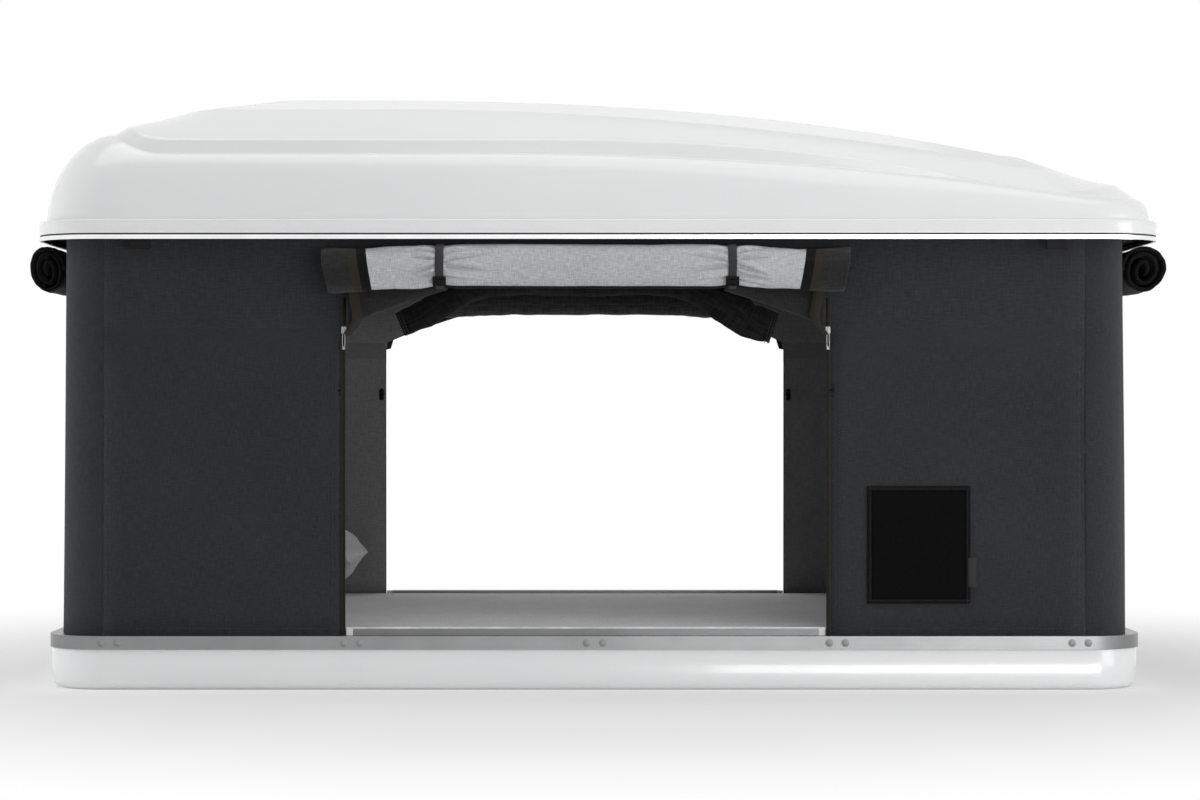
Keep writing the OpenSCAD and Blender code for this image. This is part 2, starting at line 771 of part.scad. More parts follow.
module roll_straps() {
  color("darkslategray") on_base() {
    for (side = [-1, 1])
      translate([-door_set_back, side * roll_cy, roll_cz]) at_straps() strap(roll_ry, roll_rz);
    for (end = [-1, 1])
      translate([end * window_roll_cx(end), 0, roll_z + window_roll_rz]) rotate([0, 0, 90])
        at_straps() strap(window_roll_rx(end), window_roll_rz);
  }
}

// Side release buckle: a body with two lengthwise slots, flat on the front of a strap
buckle_w = 24;
buckle_h = 19;
buckle_t = 5;
module buckle() {
  along(-buckle_t, buckle_t) difference() {
    square([buckle_w, buckle_h], center = true);
    for (s = [-1, 1]) translate([s * 0.3 * buckle_w, 0]) square([2.5, 0.6 * buckle_h], center = true);
  }
}

// Where a strap of a roll ends: low on the front, turned to lie on the webbing
buckle_turn = 38;
module buckle_on(ry, rz) {
  fit = soft_gap + 0.8 + strap_t;
  translate([0, -(ry * strap_pinch + fit) * cos(buckle_turn), -(rz * strap_pinch + fit) * sin(buckle_turn)])
    rotate([buckle_turn, 0, 0]) buckle();
}

module roll_buckles() {
  color("black") on_base() {
    for (turn = [0, 1]) mirror([0, turn, 0]) translate([-door_set_back, -roll_cy, roll_cz])
      at_straps() buckle_on(roll_ry, roll_rz);
    for (end = [-1, 1]) rotate([0, 0, end < 0 ? -90 : 90])
      translate([0, -window_roll_cx(end), roll_z + window_roll_rz])
        at_straps() buckle_on(window_roll_rx(end), window_roll_rz);
  }
}

// Zips along the door edges
zip_w = 14;
zip_t = 1.2;
module at_zips() {
  for (turn = [0, 1]) mirror([0, turn, 0]) {
    translate([door_x0 - zip_w, -wall_hw - zip_t, 0]) children();
    translate([door_x1, -wall_hw - zip_t, 0]) children();
  }
}

module zip_tapes() {
  color("black") on_base() at_zips()
    translate([0, 0, rim_top + soft_gap]) cube([zip_w, zip_t, door_slope_z - rim_top]);
}

slider_w = 9;
slider_l = 12;
slider_t = 4;
slider_drop = 4;
pull_l = 26;
pull_w = 5;
pull_t = 1.6;
module zip_sliders() {
  color("silver") on_base() at_zips()
    translate([zip_w / 2, -slider_t, door_slope_z - slider_l - slider_drop]) union() {
      translate([-slider_w / 2, 0, 0]) cube([slider_w, slider_t, slider_l]);
      translate([-pull_w / 2, 0, -pull_l]) cube([pull_w, pull_t, pull_l + eps]);
    }
}

patch_t = 1.5;
tab_w = 13;
tab_h = 54;
module wall_patch() {
  color("black") on_base() translate([door_x1 + patch_gap, -wall_hw - patch_t, 0]) {
    translate([0, 0, patch_z]) cube([patch_w, patch_t, patch_h]);
    translate([patch_w, 0, patch_z + 31]) cube([tab_w, patch_t, tab_h]);
  }
}

// Toggles on the inside of each door edge, which hold the flaps when they are tied back
toggle_z = 556;
toggle_r = 5;
toggle_l = 26;
module tie_toggles() {
  color("black") on_base() {
    for (turn = [0, 1], x = [door_x0 - 2 * toggle_r, door_x1 + 2 * toggle_r]) mirror([0, turn, 0])
      translate([x, -wall_hw + wall_t + toggle_r, toggle_z - toggle_l / 2])
        cylinder(h = toggle_l, r = toggle_r);
  }
}

// Lift at the head end; the foot end's is the same, turned half round

// Flat bar from one pivot to the other with its holes, along +X
module arm_2d(free_clear) {
  difference() {
    union() {
      translate([0, -arm_w / 2]) square([arm_length, arm_w]);
      for (x = [0, arm_length]) translate([x, 0]) circle(arm_w / 2);
    }
    for (x = [0, arm_length / 2, arm_length]) translate([x, 0]) circle(pin_r + free_clear);
  }
}

module arm_a() {
  color("dimgray") across(-scissor_x - lane_a - arm_t, arm_t)
    translate([-pivot_y, base_pivot_z]) rotate(open_slope) arm_2d(pin_clear);
}

module arm_b() {
  color("dimgray") across(-scissor_x - lane_b - arm_t, arm_t)
    translate([slide_y, base_pivot_z]) rotate(180 - open_slope) arm_2d(pin_clear);
}

// A pin along X between two places across the lanes, at a pivot
module lane_pin(from, to, r, y, z) {
  translate([-scissor_x - to, y, z]) rotate([0, 90, 0]) cylinder(h = to - from, r = r);
}

module centre_pin() {
  y = (slide_y - pivot_y) / 2;
  z = (base_pivot_z + lid_pivot_z) / 2;
  out = lane_a + arm_t;
  color("silver") union() {
    lane_pin(lane_b, out, pin_r, y, z);
    lane_pin(out, out + pin_head_t, pin_r + 3, y, z);
    lane_pin(lane_b - pin_head_t, lane_b, pin_r + 3, y, z);
  }
}

// Channel section seen along the tent's width, open side up: [u, z] from the web's outer face
module channel_2d() {
  translate([-track_out - track_t, 0]) square([track_out - track_in + 2 * track_t, track_t]);
  for (u = [-track_out - track_t, -track_in])
    translate([u, 0]) square([track_t, pivot_h + track_t + track_lip]);
}

// Block that holds the closed end of a gas spring in its channel
anchor_l = 15;
module gas_anchor(z0, z1) {
  translate([-scissor_x - gas_lane - gas_tube_r, gas_start_y - anchor_l, z0])
    cube([2 * gas_tube_r, anchor_l, z1 - z0]);
}

module base_track() {
  union() {
    translate([-scissor_x, -track_half_l, base_wall]) mirror([0, 1, 0]) rotate([90, 0, 0])
      linear_extrude(2 * track_half_l) channel_2d();
    gas_anchor(base_wall + track_t - eps, base_pivot_z + gas_tube_r);
    lane_pin(lane_a - lane_gap / 2, track_out + eps, pin_r, -pivot_y, base_pivot_z);
  }
}

module base_tracks() {
  color("silver") on_base() {
    base_track();
    at_foot() base_track();
  }
}

// The roof's track comes down inside the rim, so its ends are cut to the rim's round corners
module lid_track() {
  union() {
    intersection() {
      translate([-scissor_x, -track_half_l, lid_web_z + track_t]) mirror([0, 1, 0]) mirror([0, 0, 1])
        rotate([90, 0, 0]) linear_extrude(2 * track_half_l) channel_2d();
      slab(lid_z, lid_web_z + track_t)
        round_rect(rim_in_hl - track_fit, rim_in_hw - track_fit, rim_in_r - track_fit);
    }
    translate([-scissor_x - track_out - track_t, -rim_in_hw - frame_t - 8, lid_web_z])
      cube([track_out - track_in + 2 * track_t, 2 * (rim_in_hw + frame_t + 8), track_t]);
    gas_anchor(lid_pivot_z - gas_tube_r, lid_web_z + eps);
    lane_pin(lane_b - lane_gap / 2, track_out + eps, pin_r, -pivot_y, lid_pivot_z);
  }
}

module lid_tracks() {
  color("silver") on_base() {
    lid_track();
    at_foot() lid_track();
  }
}

// Gas spring tube with its bore and the gland that guides the rod
bore_wall = 2;
module gas_tube(z) {
  translate([-scissor_x - gas_lane, gas_start_y, z]) rotate([-90, 0, 0]) difference() {
    cylinder(h = gas_tube_l, r = gas_tube_r);
    translate([0, 0, bore_wall]) cylinder(h = gas_tube_l - gland_l - bore_wall, r = gas_tube_r - bore_wall);
    cylinder(h = gas_tube_l + 1, r = gas_rod_r + slide_gap);
  }
}

module base_gas_tubes() {
  color("black") on_base() {
    gas_tube(base_pivot_z);
    at_foot() gas_tube(base_pivot_z);
  }
}

module lid_gas_tubes() {
  color("black") on_base() {
    gas_tube(lid_pivot_z);
    at_foot() gas_tube(lid_pivot_z);
  }
}

// Sliding block on the moving pivot, with the pin that the arm turns on
module slider_block(z0, z1, pin_to, z) {
  color("black") union() {
    translate([-scissor_x - gas_lane - gas_tube_r - 1, slide_y - slider_half_l, z0])
      cube([gas_lane + gas_tube_r + 1 - track_in - slide_gap, 2 * slider_half_l, z1 - z0]);
    lane_pin(gas_lane + gas_tube_r + 1 - eps, pin_to, pin_r, slide_y, z);
  }
}

module base_slider() {
  slider_block(base_wall + track_t + slide_gap, base_pivot_z + track_lip, lane_b + arm_t + lane_gap / 2,
    base_pivot_z);
}

module lid_slider() {
  slider_block(lid_pivot_z - track_lip, lid_web_z - slide_gap, lane_a + arm_t + lane_gap / 2, lid_pivot_z);
}

piston_l = 12;
module gas_rod(z) {
  color("gainsboro") translate([-scissor_x - gas_lane, slide_y - slider_half_l, z]) rotate([90, 0, 0])
    union() {
      cylinder(h = gas_rod_l, r = gas_rod_r);
      translate([0, 0, gas_rod_l - piston_l]) cylinder(h = piston_l, r = gas_tube_r - bore_wall - slide_gap);
    }
}

module head_arm_a() {
  on_base() arm_a();
}

module head_arm_b() {
  on_base() arm_b();
}

module foot_arm_a() {
  on_base() at_foot() arm_a();
}

module foot_arm_b() {
  on_base() at_foot() arm_b();
}

module head_centre_pin() {
  on_base() centre_pin();
}

module foot_centre_pin() {
  on_base() at_foot() centre_pin();
}

module head_base_slider() {
  on_base() base_slider();
}

module head_lid_slider() {
  on_base() lid_slider();
}

module foot_base_slider() {
  on_base() at_foot() base_slider();
}

module foot_lid_slider() {
  on_base() at_foot() lid_slider();
}

module head_base_rod() {
  on_base() gas_rod(base_pivot_z);
}

module head_lid_rod() {
  on_base() gas_rod(lid_pivot_z);
}

module foot_base_rod() {
  on_base() at_foot() gas_rod(base_pivot_z);
}

module foot_lid_rod() {
  on_base() at_foot() gas_rod(lid_pivot_z);
}

// Roof

module lid_shell() {
  color("white") hollow_roof(concat(lid_skirt(0), lid_body(0)),
    concat(lid_skirt(lid_wall), lid_body(lid_wall)));
}

// Lining from the first swell up, over the frame and the tracks
liner_gap = 0.8;
module lid_liner() {
  outer = lid_wall + liner_gap;
  function over_ledge(d) = [for (i = [1 : len(lid_body(d)) - 1]) lid_body(d)[i]];
  color("gray") hollow_roof(over_ledge(outer), over_ledge(outer + liner_t));
}

module lid_trim() {
  color("gainsboro") slab(lid_z, lid_z + trim_h) ring_2d(lid_hl, lid_hw, lid_corner_r, trim_wall);
}

bead_inset = 1;
module lid_bead() {
  color("black") slab(lid_z + trim_h, skirt_z)
    ring_2d(lid_hl - bead_inset, lid_hw - bead_inset, lid_corner_r - bead_inset, trim_wall - bead_inset);
}

// Rubber seal that comes down on the rim's ledge
seal_out = 4;
seal_w = 10;
seal_gap = 2;
module lid_seal() {
  color("black") on_base() slab(rim_top + seal_gap + travel, frame_z)
    ring_2d(wall_hl + seal_out + seal_w, wall_hw + seal_out + seal_w, wall_r + seal_out + seal_w, seal_w);
}

// Frame round the roof's lower edge: a flat flange over the walls with an inner upstand under the tracks
frame_gap = 0.8;
module lid_frame() {
  color("dimgray") union() {
    slab(frame_z, frame_z + frame_t) difference() {
      polygon([for (p = lid_level(0, ledge_w, lid_wall + frame_gap, 0)) [p[0], p[1]]]);
      on_base() round_rect(rim_in_hl, rim_in_hw, rim_in_r);
    }
    on_base() slab(frame_z, lid_web_z) difference() {
      round_rect(rim_in_hl + frame_t, rim_in_hw + frame_t, rim_in_r + frame_t);
      round_rect(rim_in_hl, rim_in_hw, rim_in_r);
    }
  }
}

// Catches at the near head corner; the others are mirror images

module catch_bracket() {
  ear_out = catch_pin_y + catch_barrel_r;
  translate([-catch_x, 0, 0]) union() {
    for (x = [-catch_w / 2 - ear_t - slide_gap, catch_w / 2 + slide_gap])
      translate([x, -ear_out, catch_pin_z - catch_barrel_r])
        cube([ear_t, 2 * catch_barrel_r, frame_z - catch_pin_z + catch_barrel_r]);
    translate([-catch_w / 2 - ear_t, -catch_pin_y, catch_pin_z]) rotate([0, 90, 0])
      cylinder(h = catch_w + 2 * ear_t, r = catch_pin_r);
  }
}

module at_corners() {
  for (mx = [0, 1], my = [0, 1]) mirror([mx, 0, 0]) mirror([0, my, 0]) children();
}

module catch_brackets() {
  color("dimgray") at_corners() catch_bracket();
}

module catch_lever() {
  toe_z = lid_z - catch_drop;
  half = catch_t / 2;
  color("black") translate([-catch_x - catch_w / 2, 0, 0]) difference() {
    union() {
      translate([0, -catch_pin_y, catch_pin_z]) rotate([0, 90, 0])
        cylinder(h = catch_w, r = catch_barrel_r);
      translate([0, -catch_pin_y - half, toe_z]) cube([catch_w, catch_t, catch_pin_z - toe_z]);
      translate([0, -catch_pin_y - half, toe_z]) cube([catch_w, half + catch_toe_reach, catch_toe_t]);
    }
    translate([-1, -catch_pin_y, catch_pin_z]) rotate([0, 90, 0])
      cylinder(h = catch_w + 2, r = catch_pin_r + pin_clear);
  }
}

module catch_near_head() {
  catch_lever();
}

module catch_near_foot() {
  mirror([1, 0, 0]) catch_lever();
}

module catch_far_head() {
  mirror([0, 1, 0]) catch_lever();
}

module catch_far_foot() {
  mirror([1, 0, 0]) mirror([0, 1, 0]) catch_lever();
}

lower_shell();
floor_panel();
base_rim();
rim_rivets();
rail_near();
rail_far();
rail_nuts();
sill_near();
sill_far();
sill_end_caps();
mattress();
pillow();
base_tracks();
base_gas_tubes();
near_wall();
far_wall();
head_wall();
foot_wall();
window_nets();
door_roll_near();
door_roll_far();
window_roll_head();
window_roll_foot();
net_roll_near();
net_roll_far();
roll_straps();
roll_buckles();
zip_tapes();
zip_sliders();
wall_patch();
tie_toggles();
head_arm_a();
head_arm_b();
foot_arm_a();
foot_arm_b();
head_centre_pin();
foot_centre_pin();
head_base_slider();
head_lid_slider();
foot_base_slider();
foot_lid_slider();
head_base_rod();
head_lid_rod();
foot_base_rod();
foot_lid_rod();
lid_shell();
lid_trim();
lid_bead();
lid_seal();
lid_frame();
lid_liner();
lid_tracks();
lid_gas_tubes();
catch_brackets();
catch_near_head();
catch_near_foot();
catch_far_head();
catch_far_foot();
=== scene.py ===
import math

import bpy
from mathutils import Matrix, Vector, noise


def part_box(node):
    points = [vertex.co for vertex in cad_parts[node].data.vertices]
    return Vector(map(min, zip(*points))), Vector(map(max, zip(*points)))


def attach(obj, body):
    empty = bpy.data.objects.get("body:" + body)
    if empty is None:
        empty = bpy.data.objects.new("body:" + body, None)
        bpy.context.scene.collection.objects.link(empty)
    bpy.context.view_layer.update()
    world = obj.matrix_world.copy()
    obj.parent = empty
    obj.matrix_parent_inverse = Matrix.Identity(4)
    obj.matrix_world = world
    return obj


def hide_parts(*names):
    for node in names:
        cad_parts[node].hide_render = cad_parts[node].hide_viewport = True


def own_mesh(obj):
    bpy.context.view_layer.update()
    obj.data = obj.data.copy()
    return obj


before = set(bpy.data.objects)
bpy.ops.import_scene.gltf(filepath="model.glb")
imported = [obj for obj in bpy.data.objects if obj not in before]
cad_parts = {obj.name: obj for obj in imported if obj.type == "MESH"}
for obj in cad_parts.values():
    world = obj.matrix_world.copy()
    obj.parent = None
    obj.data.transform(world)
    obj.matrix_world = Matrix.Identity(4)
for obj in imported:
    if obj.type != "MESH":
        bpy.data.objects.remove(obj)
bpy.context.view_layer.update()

# Sizes in metres. +X points to the foot end, -Y to the side that the camera sees, +Z up.

UP = Vector((0, 0, 1))
NEAR, FAR = Vector((0, -1, 0)), Vector((0, 1, 0))
HEAD, FOOT = Vector((-1, 0, 0)), Vector((1, 0, 0))
QUARTER, HALF, FULL = math.pi / 2, math.pi, 2 * math.pi
SIDES = (("near", -1, NEAR), ("far", 1, FAR))
ENDS = (("head", -1, HEAD), ("foot", 1, FOOT))


def node_box(node):
    return [Vector(corner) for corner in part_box(node)]


def mix(a, b, t):
    return a + (b - a) * t


def clamp(t):
    return min(1.0, max(0.0, t))


def steps(a, b, count):
    """count + 1 even places from a to b."""
    return [mix(a, b, i / count) for i in range(count + 1)]


def chain(start, *legs):
    """Places from start on. A leg is the place where it ends and its number of steps."""
    places = [start]
    for end, count in legs:
        places += steps(start, end, count)[1:]
        start = end
    return places


def circle(centre, one_way, other_way, angles):
    return [centre + one_way * math.cos(a) + other_way * math.sin(a) for a in angles]


def flatten(rows):
    return [p for row in rows for p in row]


rim_lo, rim_hi = node_box("base_rim")
near_lo, near_hi = node_box("near_wall")
head_lo, head_hi = node_box("head_wall")
cap_lo, cap_hi = node_box("sill_end_caps")
lid_lo, lid_hi = node_box("lid_shell")
base_x = (rim_lo.x + rim_hi.x) / 2
wall_z0, wall_z1 = near_lo.z, near_hi.z
wall_y = -near_lo.y
wall_r = head_hi.x - head_lo.x
straight_x = (near_hi.x - near_lo.x) / 2
straight_y = wall_y - wall_r
end_x = straight_x + wall_r
wall_taper = 0.006
sill_gap = 0.002
door_x0, door_x1 = cap_lo.x - sill_gap, cap_hi.x + sill_gap
door_mid = (door_x0 + door_x1) / 2
door_slope_z, door_top_z, door_slope_w = 0.672, 0.755, 0.170
window_half, window_z, window_top_z = 0.400, 0.360, 0.790

# Materials


def shader_of(mat):
    return mat.node_tree.nodes["Principled BSDF"]


def material(name, color, roughness, sockets=None):
    mat = bpy.data.materials.new(name)
    mat.use_nodes = True
    values = {"Base Color": (*color, 1), "Roughness": roughness, **(sockets or {})}
    for socket, value in values.items():
        shader_of(mat).inputs[socket].default_value = value
    return mat


def add(mat, kind, inputs, output=0, **settings):
    """A shader node with its settings and inputs. Returns its output socket."""
    node = mat.node_tree.nodes.new("ShaderNode" + kind)
    for name, value in settings.items():
        setattr(node, name, value)
    for socket, value in inputs.items():
        if isinstance(value, bpy.types.NodeSocket):
            mat.node_tree.links.new(value, node.inputs[socket])
        else:
            node.inputs[socket].default_value = value
    return node.outputs[output]


def place(mat, source, stretch):
    spot = add(mat, "TexCoord", {}, source)
    return add(mat, "Mapping", {"Vector": spot, "Scale": stretch})


def grain(mat, source, scale, stretch=(1, 1, 1), detail=3.0):
    return add(mat, "TexNoise", {"Vector": place(mat, source, stretch), "Scale": scale, "Detail": detail})


def bands(mat, pitch, direction):
    """Even ridges on a cloth, one every pitch metres."""
    inputs = {"Vector": place(mat, "UV", (1, 1, 1)), "Scale": 2 * math.pi / 20 / pitch}
    return add(mat, "TexWave", inputs, 1, bands_direction=direction)


def maths(mat, how, *values):
    return add(mat, "Math", dict(enumerate(values)), operation=how)


def crossed(mat, pitch):
    """Ridges in both directions of a cloth."""
    return maths(mat, "MULTIPLY", bands(mat, pitch, "X"), bands(mat, pitch, "Y"))


def colours(mat, share, *stops):
    """Base colour that runs through the stops, each a place and a colour."""
    socket = add(mat, "ValToRGB", {"Fac": share})
    elements = socket.node.color_ramp.elements
    for place_on, color in stops[2:]:
        elements.new(place_on)
    for element, (place_on, color) in zip(elements, stops):
        element.position = place_on
        element.color = (*color, 1)
    mat.node_tree.links.new(socket, shader_of(mat).inputs["Base Color"])


def roughen(mat, share, low, high):
    socket = add(mat, "MapRange", {"Value": share, "To Min": low, "To Max": high})
    mat.node_tree.links.new(socket, shader_of(mat).inputs["Roughness"])


def relief(mat, height, depth):
    """Raises the surface by up to depth metres, on top of what is there."""
    normal = shader_of(mat).inputs["Normal"]
    inputs = {"Height": height, "Distance": depth}
    if normal.links:
        inputs["Normal"] = normal.links[0].from_socket
    mat.node_tree.links.new(add(mat, "Bump", inputs), normal)


def shade(color, factor):
    return tuple(min(1, c * factor) for c in color)


def cloth(name, color, pitch, contrast=0.35, roughness=0.85, sheen=0.15, shine=0.25):
    """Plain weave with uneven yarns. pitch is the distance between two yarns."""
    mat = material(name, color, roughness, {"Sheen Weight": sheen, "Specular IOR Level": shine})
    weave = crossed(mat, pitch)
    warp = grain(mat, "UV", 0.8 / pitch, (1, 0.1, 1), detail=1.0)
    weft = grain(mat, "UV", 0.8 / pitch, (0.1, 1, 1), detail=1.0)
    yarns = maths(mat, "MULTIPLY", maths(mat, "ADD", warp, weft), 0.5)
    worn = maths(mat, "MULTIPLY_ADD", grain(mat, "UV", 4.0, detail=6.0), 0.25, -0.125)
    share = maths(mat, "ADD", yarns, worn)
    colours(mat, share, (0.34, shade(color, 1 - contrast)), (0.66, shade(color, 1 + contrast)))
    roughen(mat, yarns, roughness - 0.1, min(1, roughness + 0.1))
    relief(mat, weave, 0.3 * pitch)
    relief(mat, yarns, 0.5 * pitch)
    return mat


def gelcoat_material():
    mat = material("gelcoat", (0.80, 0.81, 0.815), 0.2, {"Coat Weight": 0.5, "Coat Roughness": 0.06})
    tone = grain(mat, "Object", 2.2, detail=4.0)
    colours(mat, tone, (0.3, (0.785, 0.797, 0.802)), (0.7, (0.815, 0.822, 0.826)))
    roughen(mat, grain(mat, "Object", 14.0, detail=5.0), 0.16, 0.27)
    relief(mat, grain(mat, "Object", 220.0, detail=1.0), 0.00012)
    return mat


def metal(name, color, low, high, stretch):
    """Metal brushed along the axes with a small stretch, between two roughnesses."""
    scratch = 0.00006
    mat = material(name, color, low, {"Metallic": 1.0})
    lines = grain(mat, "Object", 1.0, stretch, detail=5.0)
    blotches = grain(mat, "Object", 9.0, detail=4.0)
    colours(mat, blotches, (0.3, shade(color, 0.9)), (0.7, shade(color, 1.06)))
    roughen(mat, lines, low, high)
    relief(mat, lines, scratch)
    return mat


def plastic(name, color, roughness, grain_size=900.0, shine=0.4):
    mat = material(name, color, roughness, {"Specular IOR Level": shine})
    tone = grain(mat, "Object", 30.0, detail=5.0)
    colours(mat, tone, (0.3, shade(color, 0.85)), (0.7, shade(color, 1.2)))
    roughen(mat, grain(mat, "Object", 45.0), roughness - 0.07, roughness + 0.09)
    relief(mat, grain(mat, "Object", grain_size, detail=1.0), 0.00008)
    return mat


def webbing(name, color, shine=0.3):
    """Strap or zip tape: cross ribs and a fine lengthwise weave."""
    mat = material(name, color, 0.75, {"Sheen Weight": 0.1, "Specular IOR Level": shine})
    ribs = bands(mat, 0.0022, "Y")
    threads = bands(mat, 0.0014, "X")
    fuzz = grain(mat, "UV", 500.0)
    share = maths(mat, "MULTIPLY", maths(mat, "ADD", ribs, fuzz), 0.5)
    colours(mat, share, (0.2, shade(color, 0.6)), (0.8, shade(color, 1.35)))
    relief(mat, ribs, 0.0005)
    relief(mat, threads, 0.0002)
    return mat


def net_material():
    """Fine mosquito net: threads with open holes between them."""
    mat = cloth("window_net", (0.02, 0.02, 0.021), 0.0012)
    edge = {"From Min": 0.2, "From Max": 0.45, "To Min": 1.0, "To Max": 0.12}
    open_share = add(mat, "MapRange", {"Value": crossed(mat, 0.003), **edge})
    mat.node_tree.links.new(open_share, shader_of(mat).inputs["Alpha"])
    return mat


def wood_material():
    mat = material("plywood", (0.55, 0.40, 0.25), 0.6)
    rings = grain(mat, "Object", 6.0, (1, 14, 14), detail=8.0)
    colours(mat, rings, (0.3, (0.40, 0.26, 0.14)), (0.5, (0.58, 0.42, 0.25)), (0.7, (0.66, 0.51, 0.33)))
    relief(mat, rings, 0.0004)
    return mat


gelcoat = gelcoat_material()
plywood = wood_material()
rim_metal = metal("rim_aluminium", (0.255, 0.258, 0.262), 0.26, 0.42, (3, 3, 700))
rivet_metal = metal("rivet_aluminium", (0.26, 0.263, 0.267), 0.55, 0.7, (60, 60, 400))
sill_metal = metal("sill_aluminium", (0.17, 0.172, 0.175), 0.26, 0.42, (3, 3, 700))
zip_metal = metal("zip_metal", (0.30, 0.30, 0.305), 0.35, 0.55, (60, 60, 400))
trim_metal = metal("trim_aluminium", (0.88, 0.885, 0.89), 0.16, 0.3, (2, 2, 500))
dull_metal = metal("plain_aluminium", (0.62, 0.625, 0.63), 0.32, 0.5, (300, 6, 300))
steel = metal("steel", (0.60, 0.60, 0.61), 0.2, 0.38, (60, 60, 400))
black_paint = plastic("black_paint", (0.035, 0.035, 0.037), 0.42, 1500.0)
black_plastic = plastic("black_plastic", (0.008, 0.008, 0.0085), 0.5, shine=0.12)
cap_plastic = plastic("cap_plastic", (0.68, 0.68, 0.685), 0.5)
rubber = plastic("rubber", (0.014, 0.014, 0.014), 0.7, 600.0)
wall_cloth = cloth("wall_cloth", (0.022, 0.0237, 0.0265), 0.0014)
inner_cloth = cloth("inner_cloth", (0.020, 0.020, 0.021), 0.0014, 0.4, shine=0.12)
border_cloth = cloth("border_cloth", (0.008, 0.008, 0.0085), 0.0012, 0.4, sheen=0.05, shine=0.05)
lining_wall = cloth("lining_wall", (0.19, 0.19, 0.194), 0.0016, 0.2)
patch_cloth = cloth("patch_cloth", (0.0035, 0.0035, 0.0038), 0.0010, 0.4, 0.8, 0.0, 0.06)
flap_cloth = cloth("flap_cloth", (0.52, 0.525, 0.54), 0.0013, 0.24, 0.9, 0.1)
bed_cloth = cloth("bed_cloth", (0.88, 0.88, 0.885), 0.002, 0.25, 0.92, 0.8)
relief(bed_cloth, grain(bed_cloth, "Object", 1.0, (3, 26, 3)), 0.004)
pillow_cloth = cloth("pillow_cloth", (0.50, 0.50, 0.51), 0.0018, 0.2, 0.9, 0.2)
lining_cloth = cloth("lining_cloth", (0.17, 0.17, 0.175), 0.0025, 0.3, 0.95, 0.3)
net_cloth = cloth("net_cloth", (0.007, 0.007, 0.0074), 0.003, 0.9, 0.8, 0.05, 0.05)
# Lighter copy of the net cloth for the far net roll: painted light, for the light that falls on it through
# the far door
lit_net_cloth = cloth("lit_net_cloth", (0.060, 0.060, 0.062), 0.003, 0.5, 0.8, 0.1)
window_net = net_material()
strap_webbing = webbing("strap_webbing", (0.028, 0.028, 0.030))
zip_webbing = webbing("zip_webbing", (0.026, 0.023, 0.018), 0.1)
thread = plastic("thread", (0.03, 0.03, 0.032), 0.6)

# Mesh helpers

flat_sizes = {}
block_square = ((-1, -1), (1, -1), (1, 1), (-1, 1))
block_bottom = (3, 2, 1, 0)
block_sides = ((4, 5, 6, 7), (0, 1, 5, 4), (1, 2, 6, 5), (2, 3, 7, 6), (3, 0, 4, 7))


def mesh_object(name, points, faces, mats, slots=None, uvs=None):
    mesh = bpy.data.meshes.new(name)
    mesh.from_pydata([tuple(p) for p in points], [], faces)
    for mat in mats:
        mesh.materials.append(mat)
    if slots:
        mesh.polygons.foreach_set("material_index", slots)
    if uvs:
        layer = mesh.uv_layers.new(name="cloth")
        layer.uv.foreach_set("vector", flatten(uvs))
    mesh.polygons.foreach_set("use_smooth", [True] * len(mesh.polygons))
    mesh.update()
    obj = bpy.data.objects.new(name, mesh)
    bpy.context.collection.objects.link(obj)
    return obj


def lengths(points):
    """Distance along a row of points, at each point."""
    total = [0.0]
    for a, b in zip(points, points[1:]):
        total.append(total[-1] + (b - a).length)
    return total


def grid(name, rows, mats, slot_of=None, keep=None):
    """Sheet of quads through rows of points, with its lengths in metres as UVs.

    slot_of(row, column) picks a cell's material and keep(row, column) says which cells there are.
    """
    n = len(rows[0])
    across = lengths(rows[len(rows) // 2])
    along = lengths([row[n // 2] for row in rows])
    faces, slots, uvs = [], [], []
    for i in range(len(rows) - 1):
        for j in range(n - 1):
            if keep and not keep(i, j):
                continue
            cell = ((i, j), (i, j + 1), (i + 1, j + 1), (i + 1, j))
            faces.append(tuple(a * n + b for a, b in cell))
            slots.append(slot_of(i, j) if slot_of else 0)
            uvs += [(across[b], along[a]) for a, b in cell]
    points = flatten(rows)
    used = sorted(set(flatten(faces)))
    number = {k: i for i, k in enumerate(used)}
    faces = [tuple(number[k] for k in face) for face in faces]
    obj = mesh_object(name, [points[k] for k in used], faces, mats, slots, uvs)
    flat_sizes[obj.name] = (across[-1], along[-1])
    return obj


def add_block(points, faces, corners, sides):
    start = len(points)
    points += corners
    faces += [tuple(start + k for k in side) for side in sides]


def boxes(name, mat, items, bevel_w=0.0006):
    """Rounded blocks in one mesh. An item is a centre, half extents and, if turned, three directions."""
    points, faces = [], []
    for centre, half, *turned in items:
        ways = turned[0] if turned else (FOOT, FAR, UP)
        wide, deep, high = [way * size for way, size in zip(ways, half)]
        corners = [centre + wide * x + deep * y + high * z for z in (-1, 1) for x, y in block_square]
        add_block(points, faces, corners, (block_bottom, *block_sides))
    return soften(mesh_object(name, points, faces, [mat]), bevel_w)


def soften(obj, width):
    mod = obj.modifiers.new("soften", "BEVEL")
    mod.width = width
    mod.segments = 2
    mod.limit_method = "ANGLE"
    mod.harden_normals = True
    obj.data.polygons.foreach_set("use_smooth", [True] * len(obj.data.polygons))
    return obj


def thicken(obj, thickness, offset=-1.0):
    mod = obj.modifiers.new("thickness", "SOLIDIFY")
    mod.thickness = thickness
    mod.offset = offset
    return obj


